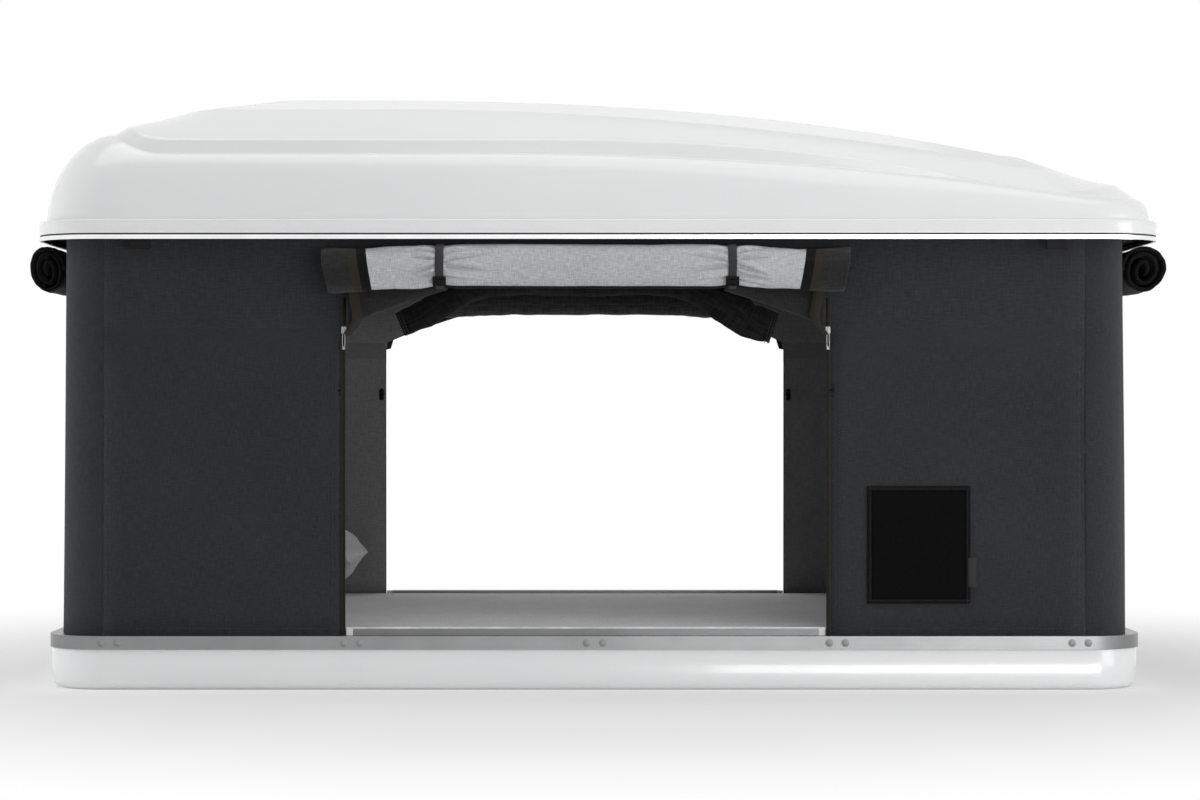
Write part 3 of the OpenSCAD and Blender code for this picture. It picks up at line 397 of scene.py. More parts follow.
def stitches(name, runs, out, pitch=0.0075, length=0.005, width=0.0011):
    """Short threads along runs of points, standing proud along out and narrower on top."""
    height, top_share = 0.0007, 0.6
    points, faces = [], []
    for run in runs:
        at = lengths(run)
        for k in range(int(at[-1] / pitch)):
            s = (k + 0.5) * pitch
            i = max(j for j in range(len(at) - 1) if at[j] <= s)
            ahead = (run[i + 1] - run[i]).normalized()
            spot = run[i] + ahead * (s - at[i])
            aside = ahead.cross(out).normalized()
            corners = []
            for lift, share in ((-height, 1.0), (height, top_share)):
                for a, b in block_square:
                    corner = spot + ahead * a * share * length / 2 + aside * b * share * width / 2
                    corners.append(corner + out * lift)
            add_block(points, faces, corners, block_sides)
    return mesh_object(name, points, faces, [thread])


def skin(rings):
    """Faces between each ring of points and the next."""
    n = len(rings[0])
    faces = []
    for i in range(len(rings) - 1):
        for j in range(n):
            a, b = i * n + j, i * n + (j + 1) % n
            faces.append((a, b, b + n, a + n))
    return faces


def join(name, objs):
    """One object from several with the same modifiers."""
    with bpy.context.temp_override(active_object=objs[0], selected_editable_objects=objs):
        bpy.ops.object.join()
    objs[0].name = name
    return objs[0]


# How pieces ride: each is attached to a body, and the parts that it replaces are hidden

wall_keep = 0.0215
roll_keep, roll_low = 0.05, 0.03
zip_tuck, side_tuck, end_tuck = math.radians(3.5), math.radians(11), math.radians(17)


def fixed(obj, body, slot, *nodes):
    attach(obj, body)
    if nodes:
        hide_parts(*nodes)


def folds(obj, slot, out=Vector(), tuck=0.0, nodes=(), keep=wall_keep, low=0.0):
    """Cloth on the base: it is attached to the base and gets its own copy of its mesh. out and tuck are not
    used.
    """
    fixed(obj, "base", slot, *nodes)
    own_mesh(obj)


def tucks(obj, slot, out, *nodes):
    """A roll, or what is on it, attached to the base. out is the way that it sticks out from the wall."""
    tuck = side_tuck if out.y else end_tuck
    folds(obj, slot, out, tuck, nodes, roll_keep, roll_low)


def as_sheet(obj):
    """Reads the flat size that a sheet's grid was drawn with, and does nothing with it."""
    w, l = flat_sizes[obj.name]


def settle(obj, slot, out, rests_on, *nodes):
    tucks(obj, slot, out, *nodes)
    as_sheet(obj)


# Roof shell

roof_hl, roof_hw = lid_hi.x, lid_hi.y
skirt_z = lid_lo.z
skirt_top = skirt_z + 0.025
ledge_z = skirt_top + 0.003
ledge_w = 0.013
roof_corner_r = 0.120
swell_n = 1.85
roof_side_steps = 56
roof_corner_steps = 12


def ridge(top, start, end, drop, power):
    """Height of a crease along the sides: level up to start, and lower by drop at end."""
    return lambda x: top - drop * max(0.0, (x - start) / (end - start)) ** power


shoulder_at = ridge(0.997, -0.252, 1.021, 0.094, 2.13)
free_band_at = ridge(1.025, -0.105, 0.757, 0.086, 2.25)
island_at = ridge(1.099, -0.399, 0.930, 0.131, 1.95)
crown_at = ridge(1.118, -0.500, 0.877, 0.128, 2.45)


def band_at(x):
    return max(shoulder_at(x) + 0.002, free_band_at(x))


# Creases of the roof: how far in they lie at the head, foot and sides, their corners' radii at the head
# and foot, and their heights there and along the sides
roof_creases = (
    ((0.135, 0.026, 0.060), (0.100, 0.115), (1.040, 0.915), shoulder_at),
    ((0.160, 0.066, 0.070), (0.090, 0.115), (1.055, 0.946), band_at),
    ((0.240, 0.118, 0.250), (0.080, 0.095), (1.092, 0.970), island_at),
    ((0.400, 0.180, 0.272), (0.080, 0.090), (1.118, 0.990), crown_at),
)
# Places of the rings from each crease to the next, in close pairs at the creases
crease_shares = ((0.0, 0.08, 0.5, 0.85, 0.97), (0.02, 0.06, 0.35, 0.65, 0.95, 0.99),
                 (0.03, 0.12, 0.5, 0.85, 0.96))
swell_degrees = (7, 14, 21, 28, 35, 42, 49, 56, 63, 70, 76, 81, 85)


def roof_ring(insets, radii, heights, z_side):
    """Rounded outline set in from the skirt, with its height along the sides given by z_side."""
    head, nose, side = insets
    (r_head, r_foot), (z_head, z_foot) = radii, heights
    x_head, x_foot, half_w = -roof_hl + head, roof_hl - nose, roof_hw - side

    def corner(end, y_sign, a):
        r, x, z = (r_foot, x_foot - r_foot, z_foot) if end > 0 else (r_head, x_head + r_head, z_head)
        z = mix(z_side(x), z, math.sin(a) ** 2)
        return Vector((x + end * r * math.sin(a), y_sign * (half_w - r + r * math.cos(a)), z))

    sides = steps(x_head + r_head, x_foot - r_foot, roof_side_steps)
    turns = steps(0, QUARTER, roof_corner_steps)
    ring = []
    for end in (1, -1):
        ring += [Vector((x, -end * half_w, z_side(x))) for x in sides[::end]]
        ring += [corner(end, -end, a) for a in turns[1:]]
        ring += [corner(end, end, a) for a in turns[:0:-1]]
    return ring


def level_ring(inset, z):
    r = roof_corner_r - inset / 2
    return roof_ring((inset, inset, inset), (r, r), (z, z), lambda x: z)


def swell_ring(degrees):
    """Outline at an angle up the swollen side, from the ledge at 0 to the shoulder at 90 degrees."""
    a = math.radians(degrees)
    inward, up = 1 - math.cos(a) ** (2 / swell_n), math.sin(a) ** (2 / swell_n)
    insets, radii, heights, z_side = roof_creases[0]
    return roof_ring([mix(ledge_w, inset, inward) for inset in insets],
                     [mix(roof_corner_r - ledge_w / 2, r, inward) for r in radii],
                     [mix(ledge_z, z, up) for z in heights], lambda x: mix(ledge_z, z_side(x), up))


def roof_body():
    """Rings from the first swell to the crown."""
    rings = [swell_ring(a) for a in swell_degrees]
    lines = [roof_ring(*crease) for crease in roof_creases]
    for a, b, shares in zip(lines, lines[1:], crease_shares):
        rings += [[p.lerp(q, t) for p, q in zip(a, b)] for t in shares]
    return rings + lines[-1:]


def close_roof(name, rings, mat):
    """Skin through the rings, closed over the top by strips from side to side."""
    n = len(rings[0])
    faces = skin(rings)
    top = (len(rings) - 1) * n
    turn = n - roof_corner_steps
    for i in range(roof_side_steps + 2 * roof_corner_steps):
        strip = (turn + i, turn + i + 1, turn - 2 - i, turn - 1 - i)
        faces.append(tuple(top + k % n for k in strip))
    return mesh_object(name, flatten(rings), faces, [mat])


def roof_shell():
    """Skirt with a rounded bead along its top, ledge and body."""
    bead = ((0, -0.002), (0.0008, -0.0004), (0.003, 0.0012), (0.0075, 0.0019), (0.0100, 0.0016),
            (0.0116, 0.0002), (0.0126, 0.0012))
    skirt = [level_ring(0, skirt_z), level_ring(0, skirt_z + 0.0015)]
    skirt += [level_ring(inset, skirt_top + up) for inset, up in bead]
    shell = thicken(close_roof("roof_shell", skirt + roof_body(), gelcoat), 0.004)
    fixed(shell, "lid", "gelcoat", "lid_shell")


def roof_lining():
    """Felt on the inside of the shell, above the frame."""
    inset, low = 0.008, 0.009

    def inside(p):
        return Vector((p.x - math.copysign(inset, p.x), p.y - math.copysign(inset, p.y), p.z - low))

    rings = [[inside(p) for p in ring] for ring in roof_body()[2:]]
    lining = thicken(close_roof("roof_lining", rings, lining_cloth), 0.002)
    fixed(lining, "lid", "lining", "lid_liner")


roof_shell()
roof_lining()

# Base tray

ring_steps = 14


def flat_ring(hl, hw, r, z):
    """Level rounded rectangle round the base's middle."""
    ring = []
    for q, (sx, sy) in enumerate(((1, -1), (1, 1), (-1, 1), (-1, -1))):
        centre = Vector((base_x + sx * (hl - r), sy * (hw - r), z))
        ring += circle(centre, FOOT * r, FAR * r, steps(QUARTER * (q - 1), QUARTER * q, ring_steps))
    return ring


def ring_skin(name, rings, mat):
    """Skin through the rings, with a flat cap on the first and the last."""
    n = len(rings[0])
    start = (len(rings) - 1) * n
    caps = [tuple(range(n - 1, -1, -1)), tuple(range(start, start + n))]
    return mesh_object(name, flatten(rings), skin(rings) + caps, [mat])


def base_tray():
    tray_lo, tray_hi = node_box("lower_shell")
    hl, hw, top = (tray_hi.x - tray_lo.x) / 2, tray_hi.y, tray_hi.z
    corner_r, fillet, wall, seat, lip_in, lip_slope, edge = 0.109, 0.018, 0.005, 0.020, 0.130, 0.008, 0.001
    least_r = 0.012

    def level(z, inset):
        return flat_ring(hl - inset, hw - inset, max(corner_r - inset, least_r), z)

    def rounded(start, r, angles):
        return [level(start + r * (1 - math.cos(a)), start + r * (1 - math.sin(a))) for a in angles]

    turns = [math.radians(a) for a in (0, 12, 24, 36, 48, 60, 72, 84, 90)]
    rings = [level(seat, lip_in + lip_slope), level(edge, lip_in), level(0, lip_in - edge)]
    rings += rounded(0, fillet, turns)
    rings += [level(top - edge, 0), level(top, edge), level(top, wall - edge), level(top - edge, wall)]
    rings += rounded(wall, fillet - wall, turns[::-1])
    rings += [level(wall, lip_in - wall), level(seat + wall, lip_in + lip_slope - wall)]
    fixed(ring_skin("base_tray", rings, gelcoat), "base", "gelcoat", "lower_shell")


def sill_glint_strip(name, side):
    """Pale strip along the outer top edge of a door sill: a painted highlight, for the glint of light along
    the sill's top edge.
    """
    lo, hi = node_box("sill_" + name)
    proud, half_y, half_z = 0.0006, 0.0025, 0.0017
    y = (hi.y if side > 0 else lo.y) + side * (proud - half_y)
    spot = Vector(((lo.x + hi.x) / 2, y, hi.z + proud - half_z))
    strip = boxes(name + "_sill_glint_strip", cap_plastic, [(spot, ((hi.x - lo.x) / 2, half_y, half_z))])
    fixed(strip, "base", "cap_plastic")


base_tray()
# Pale strips on the sills: painted highlights
for name, side, _ in SIDES:
    sill_glint_strip(name, side)

# Walls. A side is -1 for the near wall and 1 for the far one, an end -1 for the head and 1 for the foot.

wall_t = 0.0016
low_rows, high_rows = 16, 8
edge_slack = 0.001


def taper(z):
    return wall_taper * (z - wall_z0) / (wall_z1 - wall_z0)


def ripple(u, z, seed):
    """Soft unevenness of a stretched wall, none at its lower and upper edges."""
    held = math.sin(HALF * clamp((z - wall_z0) / (wall_z1 - wall_z0))) ** 0.5
    return held * 0.0022 * noise.noise(Vector((u * 3.0, z * 1.3, seed)))


def side_spot(x, z, side, proud=0.0):
    """A point on a long wall, standing proud of its cloth."""
    return Vector((x, side * (wall_y - taper(z) + ripple(x, z, side) + proud), z))


def end_ripple(y, z, end):
    return ripple(y + 7, z, end)


def door_edge(x):
    inside = min(x - door_x0, door_x1 - x)
    return mix(door_slope_z, door_top_z, clamp(inside / door_slope_w))


def hang_wall(name, rows, there):
    wall = grid(name + "_wall_cloth", rows, [wall_cloth, lining_wall], keep=there)
    thicken(wall, wall_t).modifiers["thickness"].material_offset = 1
    folds(wall, "wall_fabric", nodes=(name + "_wall",))
    as_sheet(wall)


def long_wall(name, side):
    xs = chain(base_x - straight_x, (door_x0, 12), (door_x1, 42), (base_x + straight_x, 12))[::-side]
    rows = []
    for r in range(low_rows):
        rows.append([side_spot(x, mix(wall_z0, door_slope_z, r / low_rows), side) for x in xs])
    for t in steps(0, 1, high_rows):
        rows.append([side_spot(x, mix(door_edge(x), wall_z1, t), side) for x in xs])

    def there(i, j):
        middle = (xs[j] + xs[j + 1]) / 2
        return i >= low_rows or not door_x0 - edge_slack < middle < door_x1 + edge_slack

    hang_wall(name, rows, there)


def end_wall(name, end):
    """Wall round one end, with both corners and the window opening."""
    corner = []
    for t in steps(0, 1, 14):
        nx, ny = math.sin(QUARTER * t ** 1.6), math.cos(QUARTER * t ** 1.6)
        corner.append((straight_x + wall_r * nx, straight_y + wall_r * ny, nx, ny))
    ys = chain(-straight_y, (-window_half, 3), (window_half, 16), (straight_y, 3))[1:]
    path = [(x, -y, nx, -ny) for x, y, nx, ny in corner]
    path += [(end_x, y, 1.0, 0.0) for y in ys] + corner[-2::-1]
    path = path[::end]
    zs = chain(wall_z0, (window_z, 7), (window_top_z, 10), (wall_z1, 3))
    rows = []
    for z in zs:
        row = []
        for x, y, nx, ny in path:
            inward = taper(z) - end_ripple(y, z, end)
            row.append(Vector((base_x + end * (x - nx * inward), y - ny * inward, z)))
        rows.append(row)

    def there(i, j):
        in_height = window_z - edge_slack < (zs[i] + zs[i + 1]) / 2 < window_top_z
        on_flat = path[j][2] > 0.99
        return not (in_height and on_flat and abs(path[j][1] + path[j + 1][1]) / 2 < window_half)

    hang_wall(name, rows, there)


for name, side, _ in SIDES:
    long_wall(name, side)
for name, end, _ in ENDS:
    end_wall(name, end)

# Rolled flaps. A roll is placed by out, the way that it sticks out from the wall.

strap_at = 0.270
strap_w = 0.0155
strap_pinch = 0.93
strap_lift = 0.002
grey_half, border_half, tape_half = 0.407, 0.425, 0.441
# From this angle round to the back, the grey part of a door roll gets the dark border cloth: painted shade on
# the roll's underside
shaded_underside_angle = 3 * QUARTER - 0.5

# Turns of a roll and the share of its radius that is left in the core
door_winding = (3.4, 0.35)
window_winding = (2.75, 0.22)
net_winding = (2.3, 0.4)


def along_of(out):
    return Vector((-out.y, out.x, 0))


def roll_box(node, out):
    """A roll's middle, its half length and its radii out from the wall and up."""
    lo, hi = node_box(node)
    half = (hi.x - lo.x if out.y else hi.y - lo.y) / 2
    return (lo + hi) / 2, half, abs((hi - lo).dot(out)) / 2, (hi.z - lo.z) / 2


def wound(angle, turns, core):
    """Share of a roll's radius that is left at an angle round it. The outer layer is nearly round."""
    return 1 - (1 - core) * (angle / (FULL * turns)) ** 1.5


def roll_angles(turns):
    """Angles round a roll, closest together on the front of the outer layer."""
    return chain(0, (QUARTER, 7), (3 * QUARTER, 88), (FULL, 7), (FULL * turns, int(22 * (turns - 1))))


def rolled(name, spots, winding, thickness, mats, slot_of, squeeze=1.0):
    """A sheet rolled up along its spots. The rolled edge starts at the back.

    A spot is a centre, the ways out and up, the radii along them and a function that gives, at an angle,
    the share by which the outer layer bulges and how far it slides along the roll.
    """
    rows = []
    for centre, out, up, r_out, r_up, bulge in spots:
        row = []
        for angle in roll_angles(winding[0]):
            share = wound(angle, *winding)
            swell, slide = bulge(angle)
            swell = 1 + swell * share ** 3
            aside = r_out * share ** squeeze * swell * math.cos(angle)
            row.append(centre + slide - out * aside + up * (r_up * share * swell * math.sin(angle)))
        rows.append(row)
    return thicken(grid(name, rows, mats, slot_of), thickness)


def from_strap(s):
    """Distance of a place on a roll from the nearest edge of a strap."""
    return max(0.0, abs(abs(s) - strap_at) - strap_w / 2)


def pinched(s):
    """Share of the roll's thickness at a distance from its middle: drawn in under the straps."""
    return 1 - (1 - strap_pinch) * math.exp(-(from_strap(s) / 0.016) ** 2)


# Creases on the two sides of a strap: the angle below the middle where each one starts and to which it
# runs, its reach along the roll and its depth as a share of the radius
inner_creases = ((-0.10, -0.60, 0.095, 0.25), (0.06, 0.34, 0.095, 0.30), (0.66, 0.86, 0.060, 0.20),
                 (-0.64, -0.76, 0.050, 0.18))
outer_creases = ((0.0, 0.46, 0.060, 0.36), (-0.20, -0.50, 0.066, 0.25), (0.42, 0.74, 0.072, 0.26),
                 (0.80, 1.06, 0.060, 0.20), (-0.70, -0.90, 0.050, 0.20))
crease_w = 0.085
inner_slack, outer_slack = 0.035, 0.13
strap_grip = 0.004


def creases(s, seed, ahead):
    """Folds that run out from the straps, and the slack of the cloth elsewhere."""
    away = from_strap(s)
    outer = abs(s) > strap_at
    slack = outer_slack if outer else inner_slack
    lines = []
    for start, end, reach, depth in outer_creases if outer else inner_creases:
        run = away / reach
        if run < 1:
            angle = HALF + start + (end - start) * run ** 0.8 + 0.12 * seed
            lines.append((angle, depth * (1 - run * run)))
    skew = 0.013 * clamp((abs(s) - strap_at) / (grey_half - strap_at))

    def bulge(angle):
        around = Vector((0, math.cos(angle), math.sin(angle)))
        total = slack * noise.noise(Vector((s * 11, 0, seed)) + 1.6 * around)
        total += 0.25 * slack * noise.noise(Vector((s * 34, 0, seed)) + 3.5 * around)
        for line, depth in lines:
            off = (angle - line) / crease_w
            total += depth * (0.6 * math.exp(-((off + 2.1) / 1.3) ** 2) - math.exp(-off * off))
        slide = ahead * math.copysign(skew * (1 - math.sin(angle)) / 2, -s)
        return total * min(1.0, away / strap_grip), slide

    return bulge


def roll_places(half, pitch):
    """Places along a roll, close together from the straps outwards."""
    marks = (strap_at - 0.085, grey_half, border_half, tape_half, half)
    legs = [(b, max(1, round((b - a) / pitch))) for a, b in zip(marks, marks[1:])]
    places = chain(0, (marks[0], 16), *legs)
    return [-s for s in places[:0:-1]] + places


def roll_spots(node, out, places, shape):
    """Spots along a straight roll. shape(s) gives its thickness share and how far it hangs at a place."""
    middle, _, r_out, r_up = roll_box(node, out)
    ahead = along_of(out)
    spots = []
    for s in places:
        thick, hang = shape(s)
        centre = middle + ahead * s - UP * hang
        spots.append((centre, out, UP, r_out * thick, r_up * thick, creases(s, out.y + 2 * out.x, ahead)))
    return spots


def door_roll(side_name, out):
    node = "door_roll_" + side_name
    places = roll_places(roll_box(node, out)[1], 0.004)
    angles = roll_angles(door_winding[0])

    def shape(s):
        beyond = clamp((abs(s) - strap_at) / 0.13)
        return pinched(s) * (1 - 0.02 * beyond), 0.007 * beyond

    def slot_of(row, column):
        s = abs(places[row] + places[row + 1]) / 2
        # Dark border cloth on the underside of the grey part: painted shade
        if s < grey_half and shaded_underside_angle < angles[column] < FULL:
            return 1
        return (s > grey_half) + (s > border_half) + (s > tape_half)

    mats = [flap_cloth, border_cloth, zip_webbing, inner_cloth]
    spots = roll_spots(node, out, places, shape)
    roll = rolled(side_name + "_door_roll", spots, door_winding, 0.0035, mats, slot_of)
    settle(roll, "flap_fabric", out, "roll_straps_" + side_name, node)


def window_roll(end_name, out):
    node = "window_roll_" + end_name
    places = roll_places(roll_box(node, out)[1], 0.0072)
    spots = roll_spots(node, out, places, lambda s: (pinched(s), 0.0))
    roll = rolled(end_name + "_window_roll", spots, window_winding, 0.0066, [inner_cloth, border_cloth],
                  lambda row, column: int(row < 3 or row > len(spots) - 5), squeeze=1.35)
    settle(roll, "wall_fabric", out, "roll_straps_" + end_name, node)


def smooth_path(points, count):
    """Even places on a curve through the points."""
    path = [points[0]] + points + [points[-1]]
    result = []
    for i in range(1, len(path) - 2):
        a, b, c, d = path[i - 1:i + 3]
        for k in range(count):
            t = k / count
            result.append(0.5 * (2 * b + (c - a) * t + (2 * a - 5 * b + 4 * c - d) * t * t
                                 + (3 * b - a - 3 * c + d) * t ** 3))
    return result + [points[-1]]


# Route of a rolled net: the place along the door, how far it hangs there and half its height
net_hang = [(-0.347, 0.079, 0.025), (-0.300, 0.058, 0.028), (-0.262, 0.036, 0.027), (-0.200, 0.007, 0.026),
            (-0.120, 0.0, 0.025), (0.0, 0.003, 0.025), (0.120, 0.0, 0.025), (0.200, 0.014, 0.026),
            (0.262, 0.047, 0.034), (0.305, 0.071, 0.035), (0.351, 0.087, 0.031)]
net_top_z = 0.757
net_half_h, net_half_t, net_end_t = 0.025, 0.026, 0.013
net_end_run = 12


def net_roll(side_name, out, droop, mat):
    node, name = "net_roll_" + side_name, side_name + "_net_roll"
    y = roll_box(node, out)[0].y
    route = []
    for x, drop, half in net_hang[::1 if out.y < 0 else -1]:
        route.append(Vector((x, droop * drop, mix(net_half_h, half, droop))))
    path = smooth_path(route, 8)
    centres = [Vector((door_mid + x, y, net_top_z - drop)) for x, drop, half in path]
    last = len(path) - 1
    spots = []
    for i, centre in enumerate(centres):
        ahead = (centres[min(i + 1, last)] - centres[max(i - 1, 0)]).normalized()
        up = ahead.cross(out).normalized()
        up = up if up.z > 0 else -up
        r_out = mix(net_half_t, net_end_t, 1 - min(1.0, min(i, last - i) / net_end_run))

        def bulge(angle, i=i):
            return 0.14 * noise.noise(Vector((i * 0.3, math.cos(angle), math.sin(angle)))), Vector()

        spots.append((centre, out, up, r_out, path[i].z, bulge))
    roll = rolled(name, spots, net_winding, 0.0028, [mat, border_cloth],
                  lambda row, column: int(row < 2 or row > len(spots) - 4))
    settle(roll, "net_fabric", out, side_name + "_wall_cloth", node)
    proud, hems = 0.001, []
    for row in (1, 2, last - 2, last - 1):
        centre, _, up, r_out, r_up, _ = spots[row]
        hems.append(circle(centre, out * (r_out + proud), up * (r_up + proud), steps(-1.2, 1.2, 10)))
    tucks(stitches(name + "_stitches", hems, out, 0.006, 0.004, 0.001), "net_fabric", out)


def corner_fold(side_name, out, end_name, end):
    """Slack of the door flap, gathered along the sloping corner of the opening."""
    edge_x = door_x0 if end < 0 else door_x1
    rows = []
    for t in steps(0, 1, 22):
        x = edge_x - end * mix(0.003, 0.19, t)
        half_h = mix(0.035, 0.011, t ** 0.8)
        half_t = mix(0.010, 0.008, t)
        centre = Vector((x, out.y * (wall_y + 0.0125), mix(0.710, 0.7535, t ** 0.9)))
        row = []
        for a in steps(math.radians(100), math.radians(-235), 26):
            wave = 1 + 0.4 * noise.noise(Vector((x * 18, 1.5 * math.cos(a), 2.5 * math.sin(a) + end)))
            row.append(centre + out * (half_t * wave * math.cos(a)) + UP * (half_h * math.sin(a)))
        rows.append(row)
    fold = thicken(grid(f"{side_name}_{end_name}_flap_fold", rows, [inner_cloth]), 0.002)
    settle(fold, "wall_fabric", out, side_name + "_wall_cloth")


def roll_straps(name, out, node, winding):
    """Webbing round a roll, with a side release buckle low on its front."""
    middle, _, r_out, r_up = roll_box(node, out)
    r_out, r_up = r_out * strap_pinch + strap_lift, r_up * strap_pinch + strap_lift
    ahead = along_of(out)
    turn, proud = math.radians(40), 0.0025
    face = out * math.cos(turn) - UP * math.sin(turn)
    ways = (ahead, face, face.cross(ahead))
    straps, bars = [], []
    for s in (-strap_at, strap_at):
        rows = []
        for a in steps(0, FULL, 48):
            share = wound(a, *winding)
            spot = middle + ahead * s - out * (share * r_out * math.cos(a))
            spot += UP * (share * r_up * math.sin(a))
            rows.append([spot + ahead * w for w in steps(-strap_w / 2, strap_w / 2, 4)])
        straps.append(thicken(grid(f"strap_{name}_{len(straps)}", rows, [strap_webbing]), 0.0016))
        share = wound(HALF + turn, *winding)
        spot = middle + ahead * s + out * ((share * r_out + proud) * math.cos(turn))
        spot -= UP * ((share * r_up + proud) * math.sin(turn))
        for offset in (-0.0105, 0.0105):
            bars.append((spot + ahead * offset, (0.0018, 0.0025, 0.0095), ways))
        for offset, half in ((-0.0085, 0.0012), (0.0085, 0.0012), (0.0, 0.0042)):
            bars.append((spot + ways[2] * offset, (0.0115, 0.0022, half), ways))
        for offset in (-0.0065, 0.0065):
            bars.append((spot + ahead * offset + face * 0.0012, (0.0016, 0.0022, 0.0075), ways))
    tucks(join("roll_straps_" + name, straps), "webbing", out, "roll_straps")
    tucks(boxes("roll_buckles_" + name, black_plastic, bars), "black_plastic", out, "roll_buckles")


# The far net roll takes the lighter copy of the net cloth, which is painted light
for side_name, out, droop, net_mat in (("near", NEAR, 1.0, net_cloth), ("far", FAR, 0.1, lit_net_cloth)):
    door_roll(side_name, out)
    net_roll(side_name, out, droop, net_mat)
    roll_straps(side_name, out, "door_roll_" + side_name, door_winding)
    for end_name, end, _ in ENDS:
        corner_fold(side_name, out, end_name, end)
for end_name, _, out in ENDS:
    window_roll(end_name, out)
    roll_straps(end_name, out, "window_roll_" + end_name, window_winding)

# Zips, stitched edges, patch and toggles

# Route of the flap's half of a zip above the slider: inwards from the door edge, up, and out from the wall
flap_zip = ((0.002, -0.010, 0.004), (0.015, 0.006, 0.020), (0.024, 0.022, 0.033), (0.021, 0.048, 0.040),
            (0.016, 0.078, 0.040))
zip_w, flap_zip_w = 0.0085, 0.019
zip_top_z = door_slope_z - 0.004
tooth_pitch = 0.005
stitch_proud = 0.0004


def ribbon(name, points, across, width, mat, thickness=0.001):
    """Flat tape along the points, as wide as width in the direction across."""
    rows = [[p + across * w for w in (-width / 2, 0, width / 2)] for p in points]
    return thicken(grid(name, rows, [mat]), thickness, 0.0)


def hem(name, first, last, spot, out, width, inset, lift, offsets):
    """Tape round what lies between two corners on a wall. Returns the runs of its stitches."""
    (ua, va), (ub, vb) = first, last
    corners = [(ua, va), (ub, va), (ub, vb), (ua, vb), (ua, va)]
    wide = Vector((abs(out.y), abs(out.x), 0))
    tapes, runs = [], []
    for k, ((ua, va), (ub, vb)) in enumerate(zip(corners, corners[1:])):
        across = (wide * (va - vb) + UP * (ub - ua)).normalized()
        line = [spot(mix(ua, ub, t), mix(va, vb, t)) + across * inset for t in steps(0, 1, 24)]
        tapes.append(ribbon(f"{name}_{k}", line, across, width, border_cloth, 0.0012))
        runs += [[p + out * lift + across * offset for p in line] for offset in offsets]
    folds(join(name, tapes), "wall_fabric")
    return runs


def door_zips(name, side, out):
    """Tapes with their teeth on both door edges, the flap's half turned aside above the slider."""
    tapes, teeth, sliders = [], [], []
    inwards = 1.0 if side < 0 else 0.3
    for end, edge_x in ((-1, door_x0), (1, door_x1)):
        zs = steps(wall_z0 + 0.001, zip_top_z + 0.06, 44)
        line = [side_spot(edge_x + end * zip_w / 2, z, side, 0.0012) for z in zs]
        tapes.append(ribbon(f"{name}_wall_{end}", line, FOOT, zip_w, zip_webbing))
        bow = []
        for x, up, proud in flap_zip:
            bow.append(side_spot(edge_x - end * inwards * x, zip_top_z + up, side, proud))
        across = Vector((1, 0, -0.2 * end)).normalized()
        tapes.append(ribbon(f"{name}_flap_{end}", smooth_path(bow, 6), across, flap_zip_w, zip_webbing))
        for k in range(int((zip_top_z - wall_z0) / tooth_pitch)):
            spot = side_spot(edge_x + end * 0.0022, wall_z0 + (k + 0.5) * tooth_pitch, side, 0.0022)
            teeth.append((spot, (0.0022, 0.0011, 0.0014)))
        spot = side_spot(edge_x + end * 0.003, zip_top_z, side, 0.004)
        sliders += [(spot, (0.0045, 0.0022, 0.0065)), (spot + out * 0.0028, (0.0014, 0.0012, 0.0045))]
        pull = spot + out * 0.003
        for offset in (-0.0022, 0.0022):
            sliders.append((pull + Vector((offset, 0, -0.021)), (0.0007, 0.0008, 0.0145)))
        for drop, half in ((0.0075, 0.0012), (0.0335, 0.0030)):
            sliders.append((pull - UP * drop, (0.0029, 0.0008, half)))
    folds(join(name + "_zip_tapes", tapes), "webbing", out, zip_tuck, ("zip_tapes",))
    folds(boxes(name + "_zip_teeth", black_plastic, teeth, 0.0004), "black_plastic", out, zip_tuck)
    slider = boxes(name + "_zip_sliders", zip_metal, sliders, 0.0005)
    folds(slider, "steel", out, zip_tuck, ("zip_sliders",))


def door_outline(side, margin):
    """Run along the door opening at a margin from its edge, just proud of the cloth."""
    half_run = [(door_x0 - margin, wall_z0 + 0.004), (door_x0 - margin, door_slope_z + 0.4 * margin),
                (door_x0 + door_slope_w - 0.4 * margin, door_top_z + margin)]
    corners = half_run + [(door_x0 + door_x1 - x, z) for x, z in reversed(half_run)]
    run = []
    for (xa, za), (xb, zb) in zip(corners, corners[1:]):
        for t in steps(0, 1, 20)[:-1]:
            run.append(side_spot(mix(xa, xb, t), mix(za, zb, t), side, stitch_proud))
    return run


def wall_seams(name, side, out):
    """Stitch rows round the door, over the lower hem and down the corner seams."""
    runs = [door_outline(side, 0.018), door_outline(side, 0.024)]
    x_left, x_right = base_x - straight_x + 0.006, base_x + straight_x - 0.006
    zs = steps(wall_z0 + 0.004, wall_z1 - 0.03, 24)
    for x in (x_left, x_left + 0.007, x_right, x_right - 0.007):
        runs.append([side_spot(x, z, side, stitch_proud) for z in zs])
    for xa, xb in ((x_left, door_x0 - 0.02), (door_x1 + 0.02, x_right)):
        runs.append([side_spot(x, wall_z0 + 0.012, side, stitch_proud) for x in steps(xa, xb, 20)])
    folds(stitches(name + "_wall_stitches", runs, out), "webbing")


